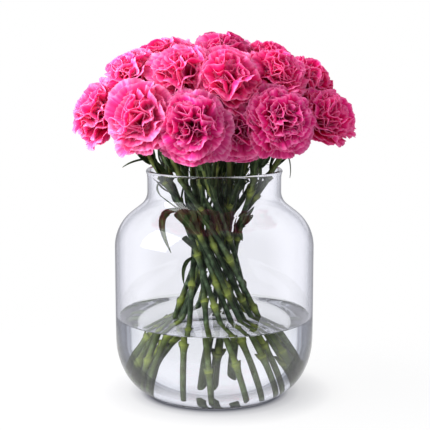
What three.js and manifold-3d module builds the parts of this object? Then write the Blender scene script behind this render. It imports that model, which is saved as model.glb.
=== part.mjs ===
// Twenty pink carnations standing in water in a clear glass vase.
// Millimetres, +Z up. The origin is the centre of the vase's flat base, and the front faces -Y.
import * as THREE from 'three';
import { mergeVertices } from 'three/addons/utils/BufferGeometryUtils.js';
import Module from 'manifold-3d';

const wasm = await Module();
wasm.setup();

// ---------- Driving dimensions ----------

const GAP = 0.3; // air between pieces that rest on each other

const VASE_HEIGHT = 221;
const BODY_RADIUS = 96.5; // the drum
const BASE_RADIUS = 55; // the flat disc that it stands on
const CORNER_HEIGHT = 56; // the rounded lower corner, a quarter of an ellipse
const SHOULDER_START = 146; // where the drum's wall starts to turn in
const SHOULDER_ARC = 41;
const SHOULDER_TURN = THREE.MathUtils.degToRad(52);
const NECK_ARC = 18; // the hollow curve between shoulder and neck
const NECK_RADIUS = 64.6;
const LIP_FLARE = 1.3;
const LIP_HEIGHT = 4;
const WALL = 3;
const FLOOR = 5;
const LIP_ROUND = 1;
const VASE_SIDES = 32;

const WATER_LEVEL = 76.8;

const STEM_RADIUS = 2.8;
const STEM_SIDES = 6;
const KNUCKLE_RADIUS = 3.9; // the swollen joints
const KNUCKLE_HALF = 6; // half of a joint's length
const KNUCKLE_SPACING = 57;
const KNUCKLE_SPREAD = 0.1; // share by which the spacing varies
const FIRST_KNUCKLE = [18, 58]; // range of distances from the foot to the lowest joint
const LAST_KNUCKLE = 16; // least distance from a joint up to the calyx
const JOINT_SPACE = 12; // least distance between two stems' joints
const HOLE_CLEARANCE = 0.45; // water kept off a joint
const CALYX_LENGTH = 30; // the green tube that holds the petals
const CALYX_RADIUS = 7;
const CALYX_SHOULDER = 14; // distance over which the calyx widens
const FOOT_RADIUS = 69; // how far out the cut ends stand
const WAIST_HEIGHT = 138; // where the bunch is narrowest
const LEAF_WIDTH = 6;
const LEAF_LENGTH = [31, 57];
const LEAF_LEAN = [16, 32]; // degrees from its stem
const LEAF_CURL = 0.2; // how far the tip bends out, as a share of the length
const LEAF_DROOP = 0.08;
const LEAF_THICKNESS = 0.7;
const LEAF_SHAPE = [[0, 0.4], [0.35, 1], [0.72, 0.75], [1, 0]]; // breadth at shares of the length
const CUT_SHAPE = [[0, 0.4], [0.5, 0.8], [1, 1]]; // and that of a leaf with its end cut off
const LEAF_ROOM = 0.8; // least air round a leaf
const LEAF_ZONE = [158, 246]; // heights between which the joints keep a leaf

const HEAD_BASE = 17; // from a flower head's middle down to its calyx
const HEAD_SPACE = 0.6; // air between a head and its neighbours
const STALK_SPACE = 0.9; // air between a head and the stems that pass it
const PETAL_THICKNESS = 0.7;

// Each flower head: its middle, the way it faces (turn round the vase from +X, lift above level), its radius
// and the ring of the bunch's waist that its stem passes through.
const LOWER = 20; // radius of the outer ring, and so on inwards
const UPPER = 13;
const TOP = 5.5;
const HEADS = [
  { at: [-103, -22, 275], turn: -152, lift: 38, radius: 34, ring: LOWER },
  { at: [-66, -75, 274], turn: -124, lift: 28, radius: 35, ring: LOWER },
  { at: [-18, -97, 268], turn: -95, lift: 12, radius: 36, ring: LOWER },
  { at: [23, -66, 263], turn: -80, lift: 4, radius: 34, ring: UPPER },
  { at: [57, -80, 273], turn: -66, lift: 20, radius: 34, ring: LOWER },
  { at: [102, -25, 271], turn: -34, lift: 36, radius: 34, ring: LOWER },
  { at: [87, 46, 277], turn: 28, lift: 36, radius: 35, ring: LOWER },
  { at: [36, 91, 270], turn: 68, lift: 30, radius: 35, ring: LOWER },
  { at: [-30, 94, 269], turn: 108, lift: 30, radius: 35, ring: LOWER },
  { at: [-84, 50, 281], turn: 149, lift: 36, radius: 35, ring: LOWER },
  { at: [-72, -25, 309], turn: -150, lift: 46, radius: 34, ring: UPPER },
  { at: [-29, -50, 312], turn: -112, lift: 48, radius: 34, ring: UPPER },
  { at: [13, -60, 303], turn: -85, lift: 34, radius: 35, ring: UPPER },
  { at: [54, -40, 309], turn: -45, lift: 46, radius: 34, ring: UPPER },
  { at: [84, 12, 300], turn: 5, lift: 42, radius: 33, ring: UPPER },
  { at: [31, 57, 307], turn: 62, lift: 50, radius: 35, ring: UPPER },
  { at: [-34, 58, 307], turn: 122, lift: 50, radius: 35, ring: UPPER },
  { at: [7, 2, 322], turn: -60, lift: 78, radius: 35, ring: TOP },
  { at: [-48, 16, 318], turn: 165, lift: 64, radius: 34, ring: TOP },
  { at: [46, 18, 316], turn: 20, lift: 64, radius: 33, ring: TOP },
];

// Leaves that stand out from the bunch: the stem they grow from, the height of their root, a point that they
// pass towards, their tip and their width. A leaf that is seen flat has its face to the front, and one that is
// cut ends in a straight edge.
const SHOWN_LEAVES = [
  // over the rim on the left, hanging outside on the right, and out between two flowers
  { stem: 1, height: 230, via: [-72, -12, 233], tip: [-87, -18, 224], width: 4.5 },
  { stem: 6, height: 232, via: [76, -4, 236], tip: [72, -8, 213], width: 3.5 },
  { stem: 5, height: 240, via: [68, -40, 246], tip: [85, -59, 255], width: 6 },
  // inside the glass on the left: a curl in the neck, a folded strap, a cut pair, a stub and a strip
  { stem: 1, height: 212, via: [-57, -14, 209], tip: [-50, -18, 196], width: 4 },
  { stem: 1, height: 180, via: [-63, -27, 190], tip: [-41, -26, 143], width: 8, flat: true },
  { stem: 1, height: 154, via: [-21, -24, 166], tip: [-35, -28, 182], width: 9, flat: true, cut: true },
  { stem: 1, height: 158, via: [-17, -23, 168], tip: [-23, -25, 182], width: 9, flat: true, cut: true },
  { stem: 10, height: 144, via: [-25, -14, 152], tip: [-29, -19, 158], width: 6, flat: true, cut: true },
  { stem: 9, height: 134, via: [-33, -16, 133], tip: [-29, -18, 110], width: 4, flat: true },
  // and two tips on the right
  { stem: 5, height: 166, via: [31, -14, 171], tip: [37, -16, 176], width: 5 },
  { stem: 5, height: 162, via: [25, -11, 160], tip: [27, -15, 153], width: 4.5 },
];
const SPINE_STEP = 3;

// ---------- Small helpers ----------

const vec = (x, y, z) => new THREE.Vector3(x, y, z);
const UP = vec(0, 0, 1);

/** A seeded draw from 0 to 1, the same every time. */
function seeded(seed) {
  let state = seed * 7919;
  const draw = () => {
    state = (state * 16807) % 2147483647;
    return state / 2147483647;
  };
  for (let k = 0; k < 6; k++) draw();
  return draw;
}

const between = (draw, low, high) => low + (high - low) * draw();

function cylindrical(radius, turn, z) {
  return vec(radius * Math.cos(turn), radius * Math.sin(turn), z);
}

function solidOf(geometry) {
  const bare = geometry.clone();
  bare.deleteAttribute('normal');
  bare.deleteAttribute('uv');
  const merged = mergeVertices(bare, 1e-4);
  const mesh = new wasm.Mesh({
    numProp: 3,
    vertProperties: new Float32Array(merged.attributes.position.array),
    triVerts: new Uint32Array(merged.index.array),
  });
  return new wasm.Manifold(mesh);
}

/** The triangles of the largest connected skin: loose scraps go, and hollows sealed by a join are filled. */
function geometryOf(solid) {
  const { vertProperties, triVerts } = solid.getMesh();
  const owner = Array.from({ length: vertProperties.length / 3 }, (_, i) => i);
  const find = (i) => {
    while (owner[i] !== i) i = owner[i] = owner[owner[i]];
    return i;
  };
  for (let t = 0; t < triVerts.length; t += 3) {
    owner[find(triVerts[t])] = find(triVerts[t + 1]);
    owner[find(triVerts[t + 1])] = find(triVerts[t + 2]);
  }
  const skins = new Map();
  for (let t = 0; t < triVerts.length; t += 3) {
    const root = find(triVerts[t]);
    if (!skins.has(root)) skins.set(root, []);
    skins.get(root).push(triVerts[t], triVerts[t + 1], triVerts[t + 2]);
  }
  const largest = [...skins.values()].sort((a, b) => b.length - a.length)[0];
  const geometry = new THREE.BufferGeometry();
  geometry.setAttribute('position', new THREE.BufferAttribute(new Float32Array(vertProperties), 3));
  geometry.setIndex(largest);
  return geometry;
}

function joined(geometries) {
  return geometries.map(solidOf).reduce((whole, next) => whole.add(next));
}

/** Turns a profile of [radius, height] points round the vertical axis. */
function turned(profile, sides) {
  const points = profile.map(([radius, height]) => new THREE.Vector2(radius, height));
  return new THREE.LatheGeometry(points, sides).rotateX(Math.PI / 2);
}

/** Points of a curved stretch of profile, from one angle to another, without its first point. */
function arc(centreRadius, centreZ, radiusAcross, radiusUp, from, to, steps) {
  return Array.from({ length: steps }, (_, i) => {
    const angle = from + ((to - from) * (i + 1)) / steps;
    return [centreRadius + radiusAcross * Math.cos(angle), centreZ + radiusUp * Math.sin(angle)];
  });
}

/**
 * A thin closed blade. Each row, from root to edge, holds points on its middle surface with the direction
 * across its thickness, and both faces are split into the same triangles.
 */
function blade(rows, thickness) {
  const flat = rows.flat();
  const starts = rows.map((_, r) => rows.slice(0, r).reduce((sum, row) => sum + row.length, 0));
  const positions = [1, -1].flatMap((side) =>
    flat.flatMap(({ at, across }) =>
      at.clone().addScaledVector(across, (side * thickness) / 2).toArray()),
  );
  const face = [];
  for (let r = 0; r + 1 < rows.length; r++) {
    const [near, far] = [rows[r].length - 1, rows[r + 1].length - 1];
    let [i, j] = [0, 0];
    while (i < near || j < far) {
      const [a, b] = [starts[r] + i, starts[r + 1] + j];
      if (i === near || (j < far && (j + 0.5) * near <= (i + 0.5) * far)) {
        face.push([a, b, b + 1]);
        j++;
      } else {
        face.push([a, b, a + 1]);
        i++;
      }
    }
  }
  const last = rows.length - 1;
  const rim = [
    ...rows.map((_, r) => starts[r]),
    ...rows[last].slice(1).map((_, i) => starts[last] + i + 1),
    ...rows.slice(0, last).map((row, r) => starts[r] + row.length - 1).reverse(),
    ...rows[0].slice(1, -1).map((_, i) => starts[0] + i + 1).reverse(),
  ].filter((v, i, all) => v !== all[i - 1] && !(i === all.length - 1 && v === all[0]));
  const under = flat.length;
  const index = [];
  for (const [a, b, c] of face) index.push(a, c, b, a + under, b + under, c + under);
  rim.forEach((a, i) => {
    const b = rim[(i + 1) % rim.length];
    index.push(a, b, b + under, a, b + under, a + under);
  });
  const geometry = new THREE.BufferGeometry();
  geometry.setAttribute('position', new THREE.Float32BufferAttribute(positions, 3));
  geometry.setIndex(signedVolume(positions, index) < 0 ? index.reverse() : index);
  return geometry;
}

function signedVolume(positions, index) {
  const corner = (i) => vec(...positions.slice(3 * i, 3 * i + 3));
  let sum = 0;
  for (let t = 0; t < index.length; t += 3) {
    sum += corner(index[t]).dot(corner(index[t + 1]).cross(corner(index[t + 2])));
  }
  return sum / 6;
}

// ---------- Vase and water ----------

/** The wall's outline from the edge of the floor up to the neck; inset moves it into the glass. */
function wallOutline(inset, floorRise) {
  const [round, tight] = [SHOULDER_ARC - inset, NECK_ARC + inset];
  const shoulder = arc(BODY_RADIUS - SHOULDER_ARC, SHOULDER_START, round, round, 0, SHOULDER_TURN, 3);
  const slope = vec(-Math.sin(SHOULDER_TURN), 0, Math.cos(SHOULDER_TURN));
  const shoulderEnd = BODY_RADIUS - SHOULDER_ARC + SHOULDER_ARC * Math.cos(SHOULDER_TURN);
  const hollowStart = NECK_RADIUS + NECK_ARC * (1 - Math.cos(SHOULDER_TURN));
  const run = (shoulderEnd - hollowStart) / -slope.x;
  const neckStart = SHOULDER_START + (SHOULDER_ARC + NECK_ARC) * Math.sin(SHOULDER_TURN) + run * slope.z;
  const hollowCentre = NECK_RADIUS + NECK_ARC;
  const baseEdge = BASE_RADIUS - inset;
  const cornerRun = BODY_RADIUS - BASE_RADIUS;
  return [
    [baseEdge, floorRise],
    ...arc(baseEdge, CORNER_HEIGHT, cornerRun, CORNER_HEIGHT - floorRise, -Math.PI / 2, 0, 4),
    [BODY_RADIUS - inset, SHOULDER_START],
    ...shoulder,
    [hollowCentre - tight * Math.cos(SHOULDER_TURN), neckStart - tight * Math.sin(SHOULDER_TURN)],
    ...arc(hollowCentre, neckStart, tight, tight, Math.PI + SHOULDER_TURN, Math.PI, 2),
  ];
}

const INSIDE = wallOutline(WALL, FLOOR);

function vase() {
  const lipOuter = NECK_RADIUS + LIP_FLARE;
  const lipInner = NECK_RADIUS - WALL;
  const lip = [
    [lipOuter, VASE_HEIGHT - LIP_HEIGHT / 2],
    [lipOuter - LIP_ROUND, VASE_HEIGHT],
    [lipInner + LIP_ROUND, VASE_HEIGHT],
  ];
  const profile = [
    [0, 0],
    ...wallOutline(0, 0),
    [NECK_RADIUS, VASE_HEIGHT - LIP_HEIGHT],
    ...lip,
    [lipInner, VASE_HEIGHT - LIP_HEIGHT / 2],
    ...INSIDE.slice().reverse(),
    [0, FLOOR],
  ];
  return turned(profile, VASE_SIDES);
}

/** The water's own block, before the stems' holes: it follows the glass at a small gap, up to its level. */
function waterBlock() {
  const outline = wallOutline(WALL + GAP, FLOOR + GAP).filter(([, z]) => z < WATER_LEVEL);
  const profile = [[0, FLOOR + GAP], ...outline, [BODY_RADIUS - WALL - GAP, WATER_LEVEL], [0, WATER_LEVEL]];
  return turned(profile, VASE_SIDES);
}

/** How far a point inside the vase is from the glass, allowing for the flats of its round wall. */
function glassClearance(point) {
  const flats = Math.cos(Math.PI / VASE_SIDES);
  const radius = Math.hypot(point.x, point.y) / flats;
  let least = point.z - FLOOR;
  for (let i = 0; i + 1 < INSIDE.length; i++) {
    const from = vec(INSIDE[i][0], 0, INSIDE[i][1]);
    const along = vec(INSIDE[i + 1][0], 0, INSIDE[i + 1][1]).sub(from);
    const offset = vec(radius, 0, point.z).sub(from);
    const share = THREE.MathUtils.clamp(offset.dot(along) / along.lengthSq(), 0, 1);
    const side = Math.sign(along.x * offset.z - along.z * offset.x);
    const distance = offset.addScaledVector(along, -share).length();
    if (distance < Math.abs(least)) least = side * distance;
  }
  return least;
}

// ---------- Where the stems run ----------

const FACING = HEADS.map(({ turn, lift }) => {
  const [t, l] = [THREE.MathUtils.degToRad(turn), THREE.MathUtils.degToRad(lift)];
  return vec(Math.cos(l) * Math.cos(t), Math.cos(l) * Math.sin(t), Math.sin(l));
});
const MIDDLE = HEADS.map(({ at }) => vec(...at));
const TWIST = THREE.MathUtils.degToRad(66); // how far the bunch turns from its heads down to its waist
const FOOT_HEIGHT = 12;
const BEND_STEPS = 10; // straight pieces in the bent stretch of a route
const BEND_START = 46; // how far a stem runs on straight above the waist
const BEND_END = 14; // and how far it runs straight into its calyx
const NECK_LIMIT = NECK_RADIUS - WALL - STEM_RADIUS - 2 * GAP; // how far out a stem stands in the neck
const LEAN_HEIGHT = 2; // height above the rim at which an outer stem bends, where it leans on the glass

/** How far round the waist each stem stands: evenly in its ring, in the heads' order, turned on by TWIST. */
function waistTurns() {
  const heading = MIDDLE.map(({ x, y }) => Math.atan2(y, x));
  const turns = new Map();
  for (const ring of [LOWER, UPPER, TOP]) {
    const members = HEADS.map((_, i) => i).filter((i) => HEADS[i].ring === ring);
    const order = members.sort((a, b) => heading[a] - heading[b]);
    const step = (2 * Math.PI) / order.length;
    const mean = vec(0, 0, 0);
    order.forEach((i, k) => mean.add(cylindrical(1, heading[i] - k * step, 0)));
    order.forEach((i, k) => turns.set(i, Math.atan2(mean.y, mean.x) + k * step + TWIST));
  }
  return turns;
}

/**
 * A stem's route: straight from its foot through the waist, then one smooth bend into the flower. The stems of
 * the outer ring bend at the rim, which they lean on.
 */
function layRoutes() {
  const turns = waistTurns();
  return HEADS.map((head, i) => {
    const draw = seeded(i + 11);
    const atWaist = turns.get(i) + between(draw, -0.06, 0.06);
    const footRadius = FOOT_RADIUS + between(draw, -3.5, 3.5);
    const atFoot = atWaist + Math.acos(head.ring / footRadius) + between(draw, -0.1, 0.1);
    const end = MIDDLE[i].clone().addScaledVector(FACING[i], -HEAD_BASE - CALYX_LENGTH);
    const onRim = cylindrical(NECK_LIMIT, Math.atan2(end.y, end.x), VASE_HEIGHT + LEAN_HEIGHT);
    const inFront = end.clone().addScaledVector(FACING[i], -BEND_END);
    return {
      foot: cylindrical(footRadius, atFoot, FOOT_HEIGHT),
      waist: cylindrical(head.ring, atWaist, WAIST_HEIGHT),
      bend: head.ring === LOWER ? onRim : inFront,
      end,
    };
  });
}

/** The straight pieces of a route, with their radius: each end is a mix of foot, waist, bend and end. */
function piecesOf(route, i) {
  const reach = BEND_START / route.waist.distanceTo(route.foot);
  const spots = [{ foot: 1, waist: 0, bend: 0, end: 0 }];
  for (let k = 0; k <= BEND_STEPS; k++) {
    const t = k / BEND_STEPS;
    const [b0, b1, b2, b3] = [(1 - t) ** 3, 3 * t * (1 - t) ** 2, 3 * t * t * (1 - t), t ** 3];
    spots.push({ foot: -reach * b1, waist: b0 + (1 + reach) * b1, bend: b2, end: b3 });
  }
  for (const spot of spots) {
    spot.at = vec(0, 0, 0);
    for (const key of ['foot', 'waist', 'bend', 'end']) spot.at.addScaledVector(route[key], spot[key]);
  }
  const pieces = spots.slice(1).map((to, k) => ({ stem: i, from: spots[k], to, radius: STEM_RADIUS }));
  const mouth = route.end.clone().addScaledVector(FACING[i], CALYX_LENGTH);
  const calyx = { foot: 0, waist: 0, bend: 0, end: 1, at: mouth };
  pieces.push({ stem: i, from: spots[spots.length - 1], to: calyx, radius: CALYX_RADIUS });
  return pieces;
}

/** Shares along two straight pieces at which they come nearest. */
function nearest(p, q) {
  const d1 = p.to.at.clone().sub(p.from.at);
  const d2 = q.to.at.clone().sub(q.from.at);
  const between = p.from.at.clone().sub(q.from.at);
  const [a, b, c, d, e] = [d1.dot(d1), d1.dot(d2), d2.dot(d2), d1.dot(between), d2.dot(between)];
  const clamp = (value) => THREE.MathUtils.clamp(value, 0, 1);
  let s = clamp((b * e - c * d) / Math.max(a * c - b * b, 1e-9));
  const t = clamp((b * s + e) / c);
  s = clamp((b * t - d) / a);
  return [s, t];
}

const ROUNDS = 260;
const EASE = 0.4; // share of each wanted move made in one round
const PULL_BACK = 0.004; // share of the way back to where a point started, in one round
const SIDE_SPACE = 1.5; // room between stems, enough for a joint to pass a stem
const NECK_START = 195; // below this height the vase is wide enough for any stem
const FUNNEL = 1.2; // how fast the room widens above the rim

/** Eases the routes apart, and off the glass and the other flowers, until every stem has its own room. */
function settle(routes) {
  const free = ['foot', 'waist', 'bend'];
  const start = routes.map((route) => Object.fromEntries(free.map((key) => [key, route[key].clone()])));
  for (let round = 0; round < ROUNDS; round++) {
    const still = () => free.map((key) => [key, { by: vec(0, 0, 0), share: 0.2 }]);
    const moves = routes.map(() => Object.fromEntries(still()));
    const pieces = routes.map(piecesOf);
    const push = (piece, share, by) => {
      for (const key of free) {
        const weight = (1 - share) * piece.from[key] + share * piece.to[key];
        moves[piece.stem][key].by.addScaledVector(by, weight);
        moves[piece.stem][key].share += weight * weight;
      }
    };
    const spotOn = (piece, share) => piece.from.at.clone().lerp(piece.to.at, share);
    for (let i = 0; i < pieces.length; i++) {
      for (let j = i + 1; j < pieces.length; j++) {
        for (const p of pieces[i]) {
          for (const q of pieces[j]) {
            const [s, t] = nearest(p, q);
            const apart = spotOn(p, s).sub(spotOn(q, t));
            const lack = p.radius + q.radius + SIDE_SPACE - apart.length();
            if (lack <= 0) continue;
            apart.normalize();
            push(p, s, apart.clone().multiplyScalar(lack / 2));
            push(q, t, apart.multiplyScalar(-lack / 2));
          }
        }
      }
      for (const piece of pieces[i].slice(1, -1)) {
        const at = piece.to.at;
        const radius = Math.hypot(at.x, at.y);
        const widening = Math.max(0, at.z - VASE_HEIGHT - STEM_RADIUS) * FUNNEL;
        const limit = at.z < NECK_START ? BODY_RADIUS : NECK_LIMIT + widening;
        if (radius > limit) push(piece, 1, vec(at.x, at.y, 0).multiplyScalar((limit - radius) / radius));
        MIDDLE.forEach((middle, j) => {
          const off = at.clone().sub(middle);
          const lack = HEADS[j].radius + STEM_RADIUS + 1 - off.length();
          if (j !== i && lack > 0) push(piece, 1, off.normalize().multiplyScalar(lack));
        });
      }
    }
    routes.forEach((route, i) => {
      const outside = Math.hypot(route.foot.x, route.foot.y) - FOOT_RADIUS - 6;
      if (outside > 0) {
        moves[i].foot.by.addScaledVector(vec(route.foot.x, route.foot.y, 0).normalize(), -outside);
        moves[i].foot.share += 1;
      }
      for (const key of free) {
        const { by, share } = moves[i][key];
        route[key].addScaledVector(by, EASE / share);
        route[key].lerp(start[i][key], PULL_BACK);
        if (key !== 'bend') route[key].z = start[i][key].z;
      }
    });
  }
  return routes;
}

const ROUTES = settle(layRoutes());

// ---------- A stem with its joints, leaves and calyx ----------

/** A route as one curve measured by distance from the foot, with steady directions across it. */
class StemCurve {
  constructor(route, i) {
    const low = new THREE.LineCurve3(route.foot, route.waist);
    const ahead = route.waist.clone().sub(route.foot).setLength(BEND_START);
    const high = new THREE.CubicBezierCurve3(
      route.waist, route.waist.clone().add(ahead), route.bend, route.end);
    const calyx = new THREE.LineCurve3(route.end, route.end.clone().addScaledVector(FACING[i], CALYX_LENGTH));
    this.path = new THREE.CurvePath();
    this.path.curves = [low, high, calyx];
    this.length = this.path.getLength();
    this.calyxStart = this.length - CALYX_LENGTH;
    this.sideways = vec(-MIDDLE[i].y, MIDDLE[i].x, 0).normalize();
  }

  /** Where a distance along the stem lies, with the direction along it and the two across it. */
  frame(distance) {
    const share = THREE.MathUtils.clamp(distance / this.length, 0, 1);
    const at = this.path.getPointAt(share);
    const along = this.path.getTangentAt(share).normalize();
    const side = this.sideways.clone().addScaledVector(along, -this.sideways.dot(along)).normalize();
    const out = along.clone().cross(side);
    at.addScaledVector(along, distance - share * this.length);
    return { at, along, side, out };
  }

  /** The same place, moved off the axis by a distance in a direction round it. */
  beside(distance, offset, angle) {
    const { at, side, out } = this.frame(distance);
    return at.addScaledVector(side, offset * Math.cos(angle)).addScaledVector(out, offset * Math.sin(angle));
  }
}

const CURVES = ROUTES.map((route, i) => new StemCurve(route, i));

/** Each stem's joints, as distances from its foot, moved on where they would touch another stem's joint. */
function placeJoints() {
  const taken = [];
  return CURVES.map((curve, i) => {
    const draw = seeded(i + 43);
    const found = [];
    let d = between(draw, ...FIRST_KNUCKLE);
    while (d < curve.calyxStart - LAST_KNUCKLE) {
      const { at } = curve.frame(d);
      if (taken.some((other) => other.distanceTo(at) < JOINT_SPACE)) {
        d += 2;
        continue;
      }
      found.push(d);
      d += KNUCKLE_SPACING * between(draw, 1 - KNUCKLE_SPREAD, 1 + KNUCKLE_SPREAD);
    }
    taken.push(...found.map((distance) => curve.frame(distance).at));
    return found;
  });
}

const JOINTS = placeJoints();

/** Moves the foot along the stem until its cut end stands a small gap off the glass. */
function footStart(curve) {
  const clearance = (distance) =>
    Math.min(...Array.from({ length: STEM_SIDES }, (_, k) =>
      glassClearance(curve.beside(distance, STEM_RADIUS, (k * 2 * Math.PI) / STEM_SIDES))));
  let [low, high] = [-30, 30];
  while (high - low > 1e-6) {
    const middle = (low + high) / 2;
    if (clearance(middle) < GAP + 0.05) low = middle;
    else high = middle;
  }
  return high;
}

/** The [radius, distance] outline of a stem, from its cut end to the calyx's mouth. */
function stemOutline(i) {
  const curve = CURVES[i];
  const start = footStart(curve);
  const outline = [[0, start], [STEM_RADIUS, start]];
  for (const d of JOINTS[i]) {
    if (d - KNUCKLE_HALF > start + 2) outline.push([STEM_RADIUS, d - KNUCKLE_HALF]);
    outline.push([KNUCKLE_RADIUS, d], [STEM_RADIUS, d + KNUCKLE_HALF]);
  }
  const mouth = curve.length;
  return [
    ...outline,
    [STEM_RADIUS, curve.calyxStart],
    [CALYX_RADIUS * 0.72, curve.calyxStart + CALYX_SHOULDER * 0.3],
    [CALYX_RADIUS, curve.calyxStart + CALYX_SHOULDER],
    [CALYX_RADIUS, mouth],
    [0, mouth],
  ];
}

function bentAlong(curve, outline) {
  const geometry = turned(outline, STEM_SIDES);
  const position = geometry.attributes.position;
  for (let v = 0; v < position.count; v++) {
    const [x, y, z] = [position.getX(v), position.getY(v), position.getZ(v)];
    position.setXYZ(v, ...curve.beside(z, Math.hypot(x, y), Math.atan2(y, x)).toArray());
  }
  return geometry;
}

/** The stem's middle as short straight pieces with the radius along them. */
const SPINES = CURVES.map((curve, i) => {
  const spine = [];
  for (let d = 0; d <= curve.length; d += SPINE_STEP) {
    const joint = JOINTS[i].some((at) => Math.abs(at - d) < KNUCKLE_HALF + SPINE_STEP / 2);
    const radius = d > curve.calyxStart ? CALYX_RADIUS : joint ? KNUCKLE_RADIUS : STEM_RADIUS;
    spine.push({ at: curve.frame(d).at, radius });
  }
  return spine;
});

/** A leaf's edges along its midline, which runs from its root on the stem, by way of one point, to its tip. */
function leafRows(root, via, tip, width, outward, shape = LEAF_SHAPE) {
  const midline = new THREE.QuadraticBezierCurve3(root, via, tip);
  return shape.map(([share, breadth]) => {
    const at = midline.getPoint(share);
    const along = midline.getTangent(share).normalize();
    const wide = along.clone().cross(outward).normalize();
    const across = along.clone().cross(wide).normalize();
    const edges = breadth === 0 ? [0] : [-1, 1];
    return edges.map((side) => {
      const edge = at.clone().addScaledVector(wide, (side * breadth * width) / 2);
      return { at: edge, across };
    });
  });
}

/** Spots along both edges and the middle of a leaf, beyond its root. */
function leafSpots(rows) {
  const [left, right] = [0, 1].map((side) => rows.map((row) => (row[side] ?? row[0]).at));
  return left.slice(1).flatMap((_, r) => [0.25, 0.5, 0.75, 1].flatMap((share) => {
    const [a, b] = [left, right].map((edge) => edge[r].clone().lerp(edge[r + 1], share));
    return [a, a.clone().lerp(b, 0.5), b];
  })).filter((spot) => spot.distanceTo(left[0]) > KNUCKLE_RADIUS * 2);
}

/** The least air from a leaf to the other stems, the other leaves, the heads and the glass. */
function leafRoom(rows, i, placed) {
  const others = SPINES.filter((_, j) => j !== i).flat();
  const room = leafSpots(rows).flatMap((spot) => {
    const inside = NECK_RADIUS - WALL / 2 - Math.hypot(spot.x, spot.y);
    const byGlass = spot.z > SHOULDER_START && spot.z < VASE_HEIGHT + 2;
    return [
      ...others.map(({ at, radius }) => at.distanceTo(spot) - radius - LEAF_THICKNESS / 2),
      ...placed.map((other) => other.distanceTo(spot) - LEAF_WIDTH / 3),
      ...MIDDLE.map((middle, j) => middle.distanceTo(spot) - HEADS[j].radius * 0.9),
      byGlass ? Math.abs(inside) - WALL : Infinity,
    ];
  });
  return Math.min(...room);
}

/** Every leaf as blade rows with its stem: those that stand out, then one at each joint where it has room. */
function placeLeaves() {
  const leaves = [];
  const placed = [];
  const keep = (i, rows) => {
    leaves.push({ stem: i, rows });
    placed.push(...leafSpots(rows));
  };
  for (const { stem, height, via, tip, width, flat, cut } of SHOWN_LEAVES) {
    const spine = SPINES[stem - 1];
    const off = ({ at }) => Math.abs(at.z - height);
    const root = spine.reduce((best, spot) => (off(spot) < off(best) ? spot : best)).at;
    const [passed, end] = [vec(...via), vec(...tip)];
    const sideways = passed.clone().sub(root).cross(end.clone().sub(passed));
    const outward = flat ? vec(0, -1, 0) : end.clone().sub(root).cross(sideways).normalize();
    const shape = cut ? CUT_SHAPE : LEAF_SHAPE;
    keep(stem - 1, leafRows(root.clone(), passed, end, width, outward, shape));
  }
  CURVES.forEach((curve, i) => {
    const draw = seeded(i + 101);
    for (const d of JOINTS[i]) {
      const { at, along } = curve.frame(d);
      if (at.z < LEAF_ZONE[0] || at.z > LEAF_ZONE[1]) continue;
      const length = between(draw, ...LEAF_LENGTH);
      const lean = THREE.MathUtils.degToRad(between(draw, ...LEAF_LEAN));
      let best = null;
      for (let turn = 0; turn < 2 * Math.PI - 0.01; turn += Math.PI / 6) {
        const outward = curve.beside(d, 1, turn).sub(at);
        const start = along.clone().multiplyScalar(Math.cos(lean)).addScaledVector(outward, Math.sin(lean));
        const via = at.clone().addScaledVector(start, length / 2);
        const tip = via.clone().addScaledVector(start, length / 2);
        tip.addScaledVector(outward, length * LEAF_CURL).addScaledVector(UP, -length * LEAF_DROOP);
        const rows = leafRows(at, via, tip, LEAF_WIDTH, outward);
        const room = leafRoom(rows, i, placed);
        if (!best || room > best.room) best = { rows, room };
      }
      if (best.room > LEAF_ROOM) keep(i, best.rows);
    }
  });
  return leaves;
}

const GROWN_LEAVES = placeLeaves();

function stem(i) {
  const own = GROWN_LEAVES.filter((leaf) => leaf.stem === i);
  const leaves = own.map(({ rows }) => blade(rows, LEAF_THICKNESS));
  return geometryOf(joined([bentAlong(CURVES[i], stemOutline(i)), ...leaves]));
}

/** The plain hole that a stem stands in: wide enough for its joints, and through to the glass. */
function stemHole(curve) {
  const radius = KNUCKLE_RADIUS + HOLE_CLEARANCE;
  const start = footStart(curve) - 3 * WALL - FLOOR;
  const top = curve.path.curves[0].getLength() * 0.75;
  return bentAlong(curve, [[0, start], [radius, start], [radius, top], [0, top]]);
}

function water() {
  const holes = CURVES.map((curve) => solidOf(stemHole(curve)));
  return geometryOf(holes.reduce((block, hole) => block.subtract(hole), solidOf(waterBlock())));
}

// ---------- A flower head ----------

// The layers of petals, from the broad outer ones to the crumpled middle. All lengths are shares of the head's
// radius. The edge is how far out and how far up the petals reach, the notch is where the gap between two of
// them ends, and the valley is the fold behind the layer, with the number of points round it. Points counts
// the notch beside a petal and the points of its waved edge.
const LAYERS = [
  { petals: 6, points: 5, edge: [1, -0.14], notch: 0.82, ruffle: 0.08, turn: 0, valley: [0.4, -0.12, 12] },
  { petals: 6, points: 4, edge: [0.9, 0.33], notch: 0.76, ruffle: 0.1, turn: 0.5, valley: [0.28, 0.12, 10] },
  { petals: 5, points: 4, edge: [0.6, 0.66], notch: 0.7, ruffle: 0.12, turn: 0.2, valley: [0.15, 0.36, 6] },
  { petals: 3, points: 4, edge: [0.26, 0.82], notch: 0.6, ruffle: 0.08, turn: 0.6, valley: [0, 0.55, 1] },
];
const SEAT = 0.19; // radius of the flat seat on the calyx
const BELLY = [0.6, -0.4, 12]; // the underside, with the number of points round it
const PETAL_ROOT = [0.2, -0.45]; // where the outermost petals start
const ROUNDING = 0.05; // how far a petal's edge bulges out
const UNEVEN = 0.06; // and how much further its points reach at random
const ENVELOPE = 1.1; // the furthest that any point reaches
const STALK_STRETCH = 150; // length of the neighbours' stems that a head must clear

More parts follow.
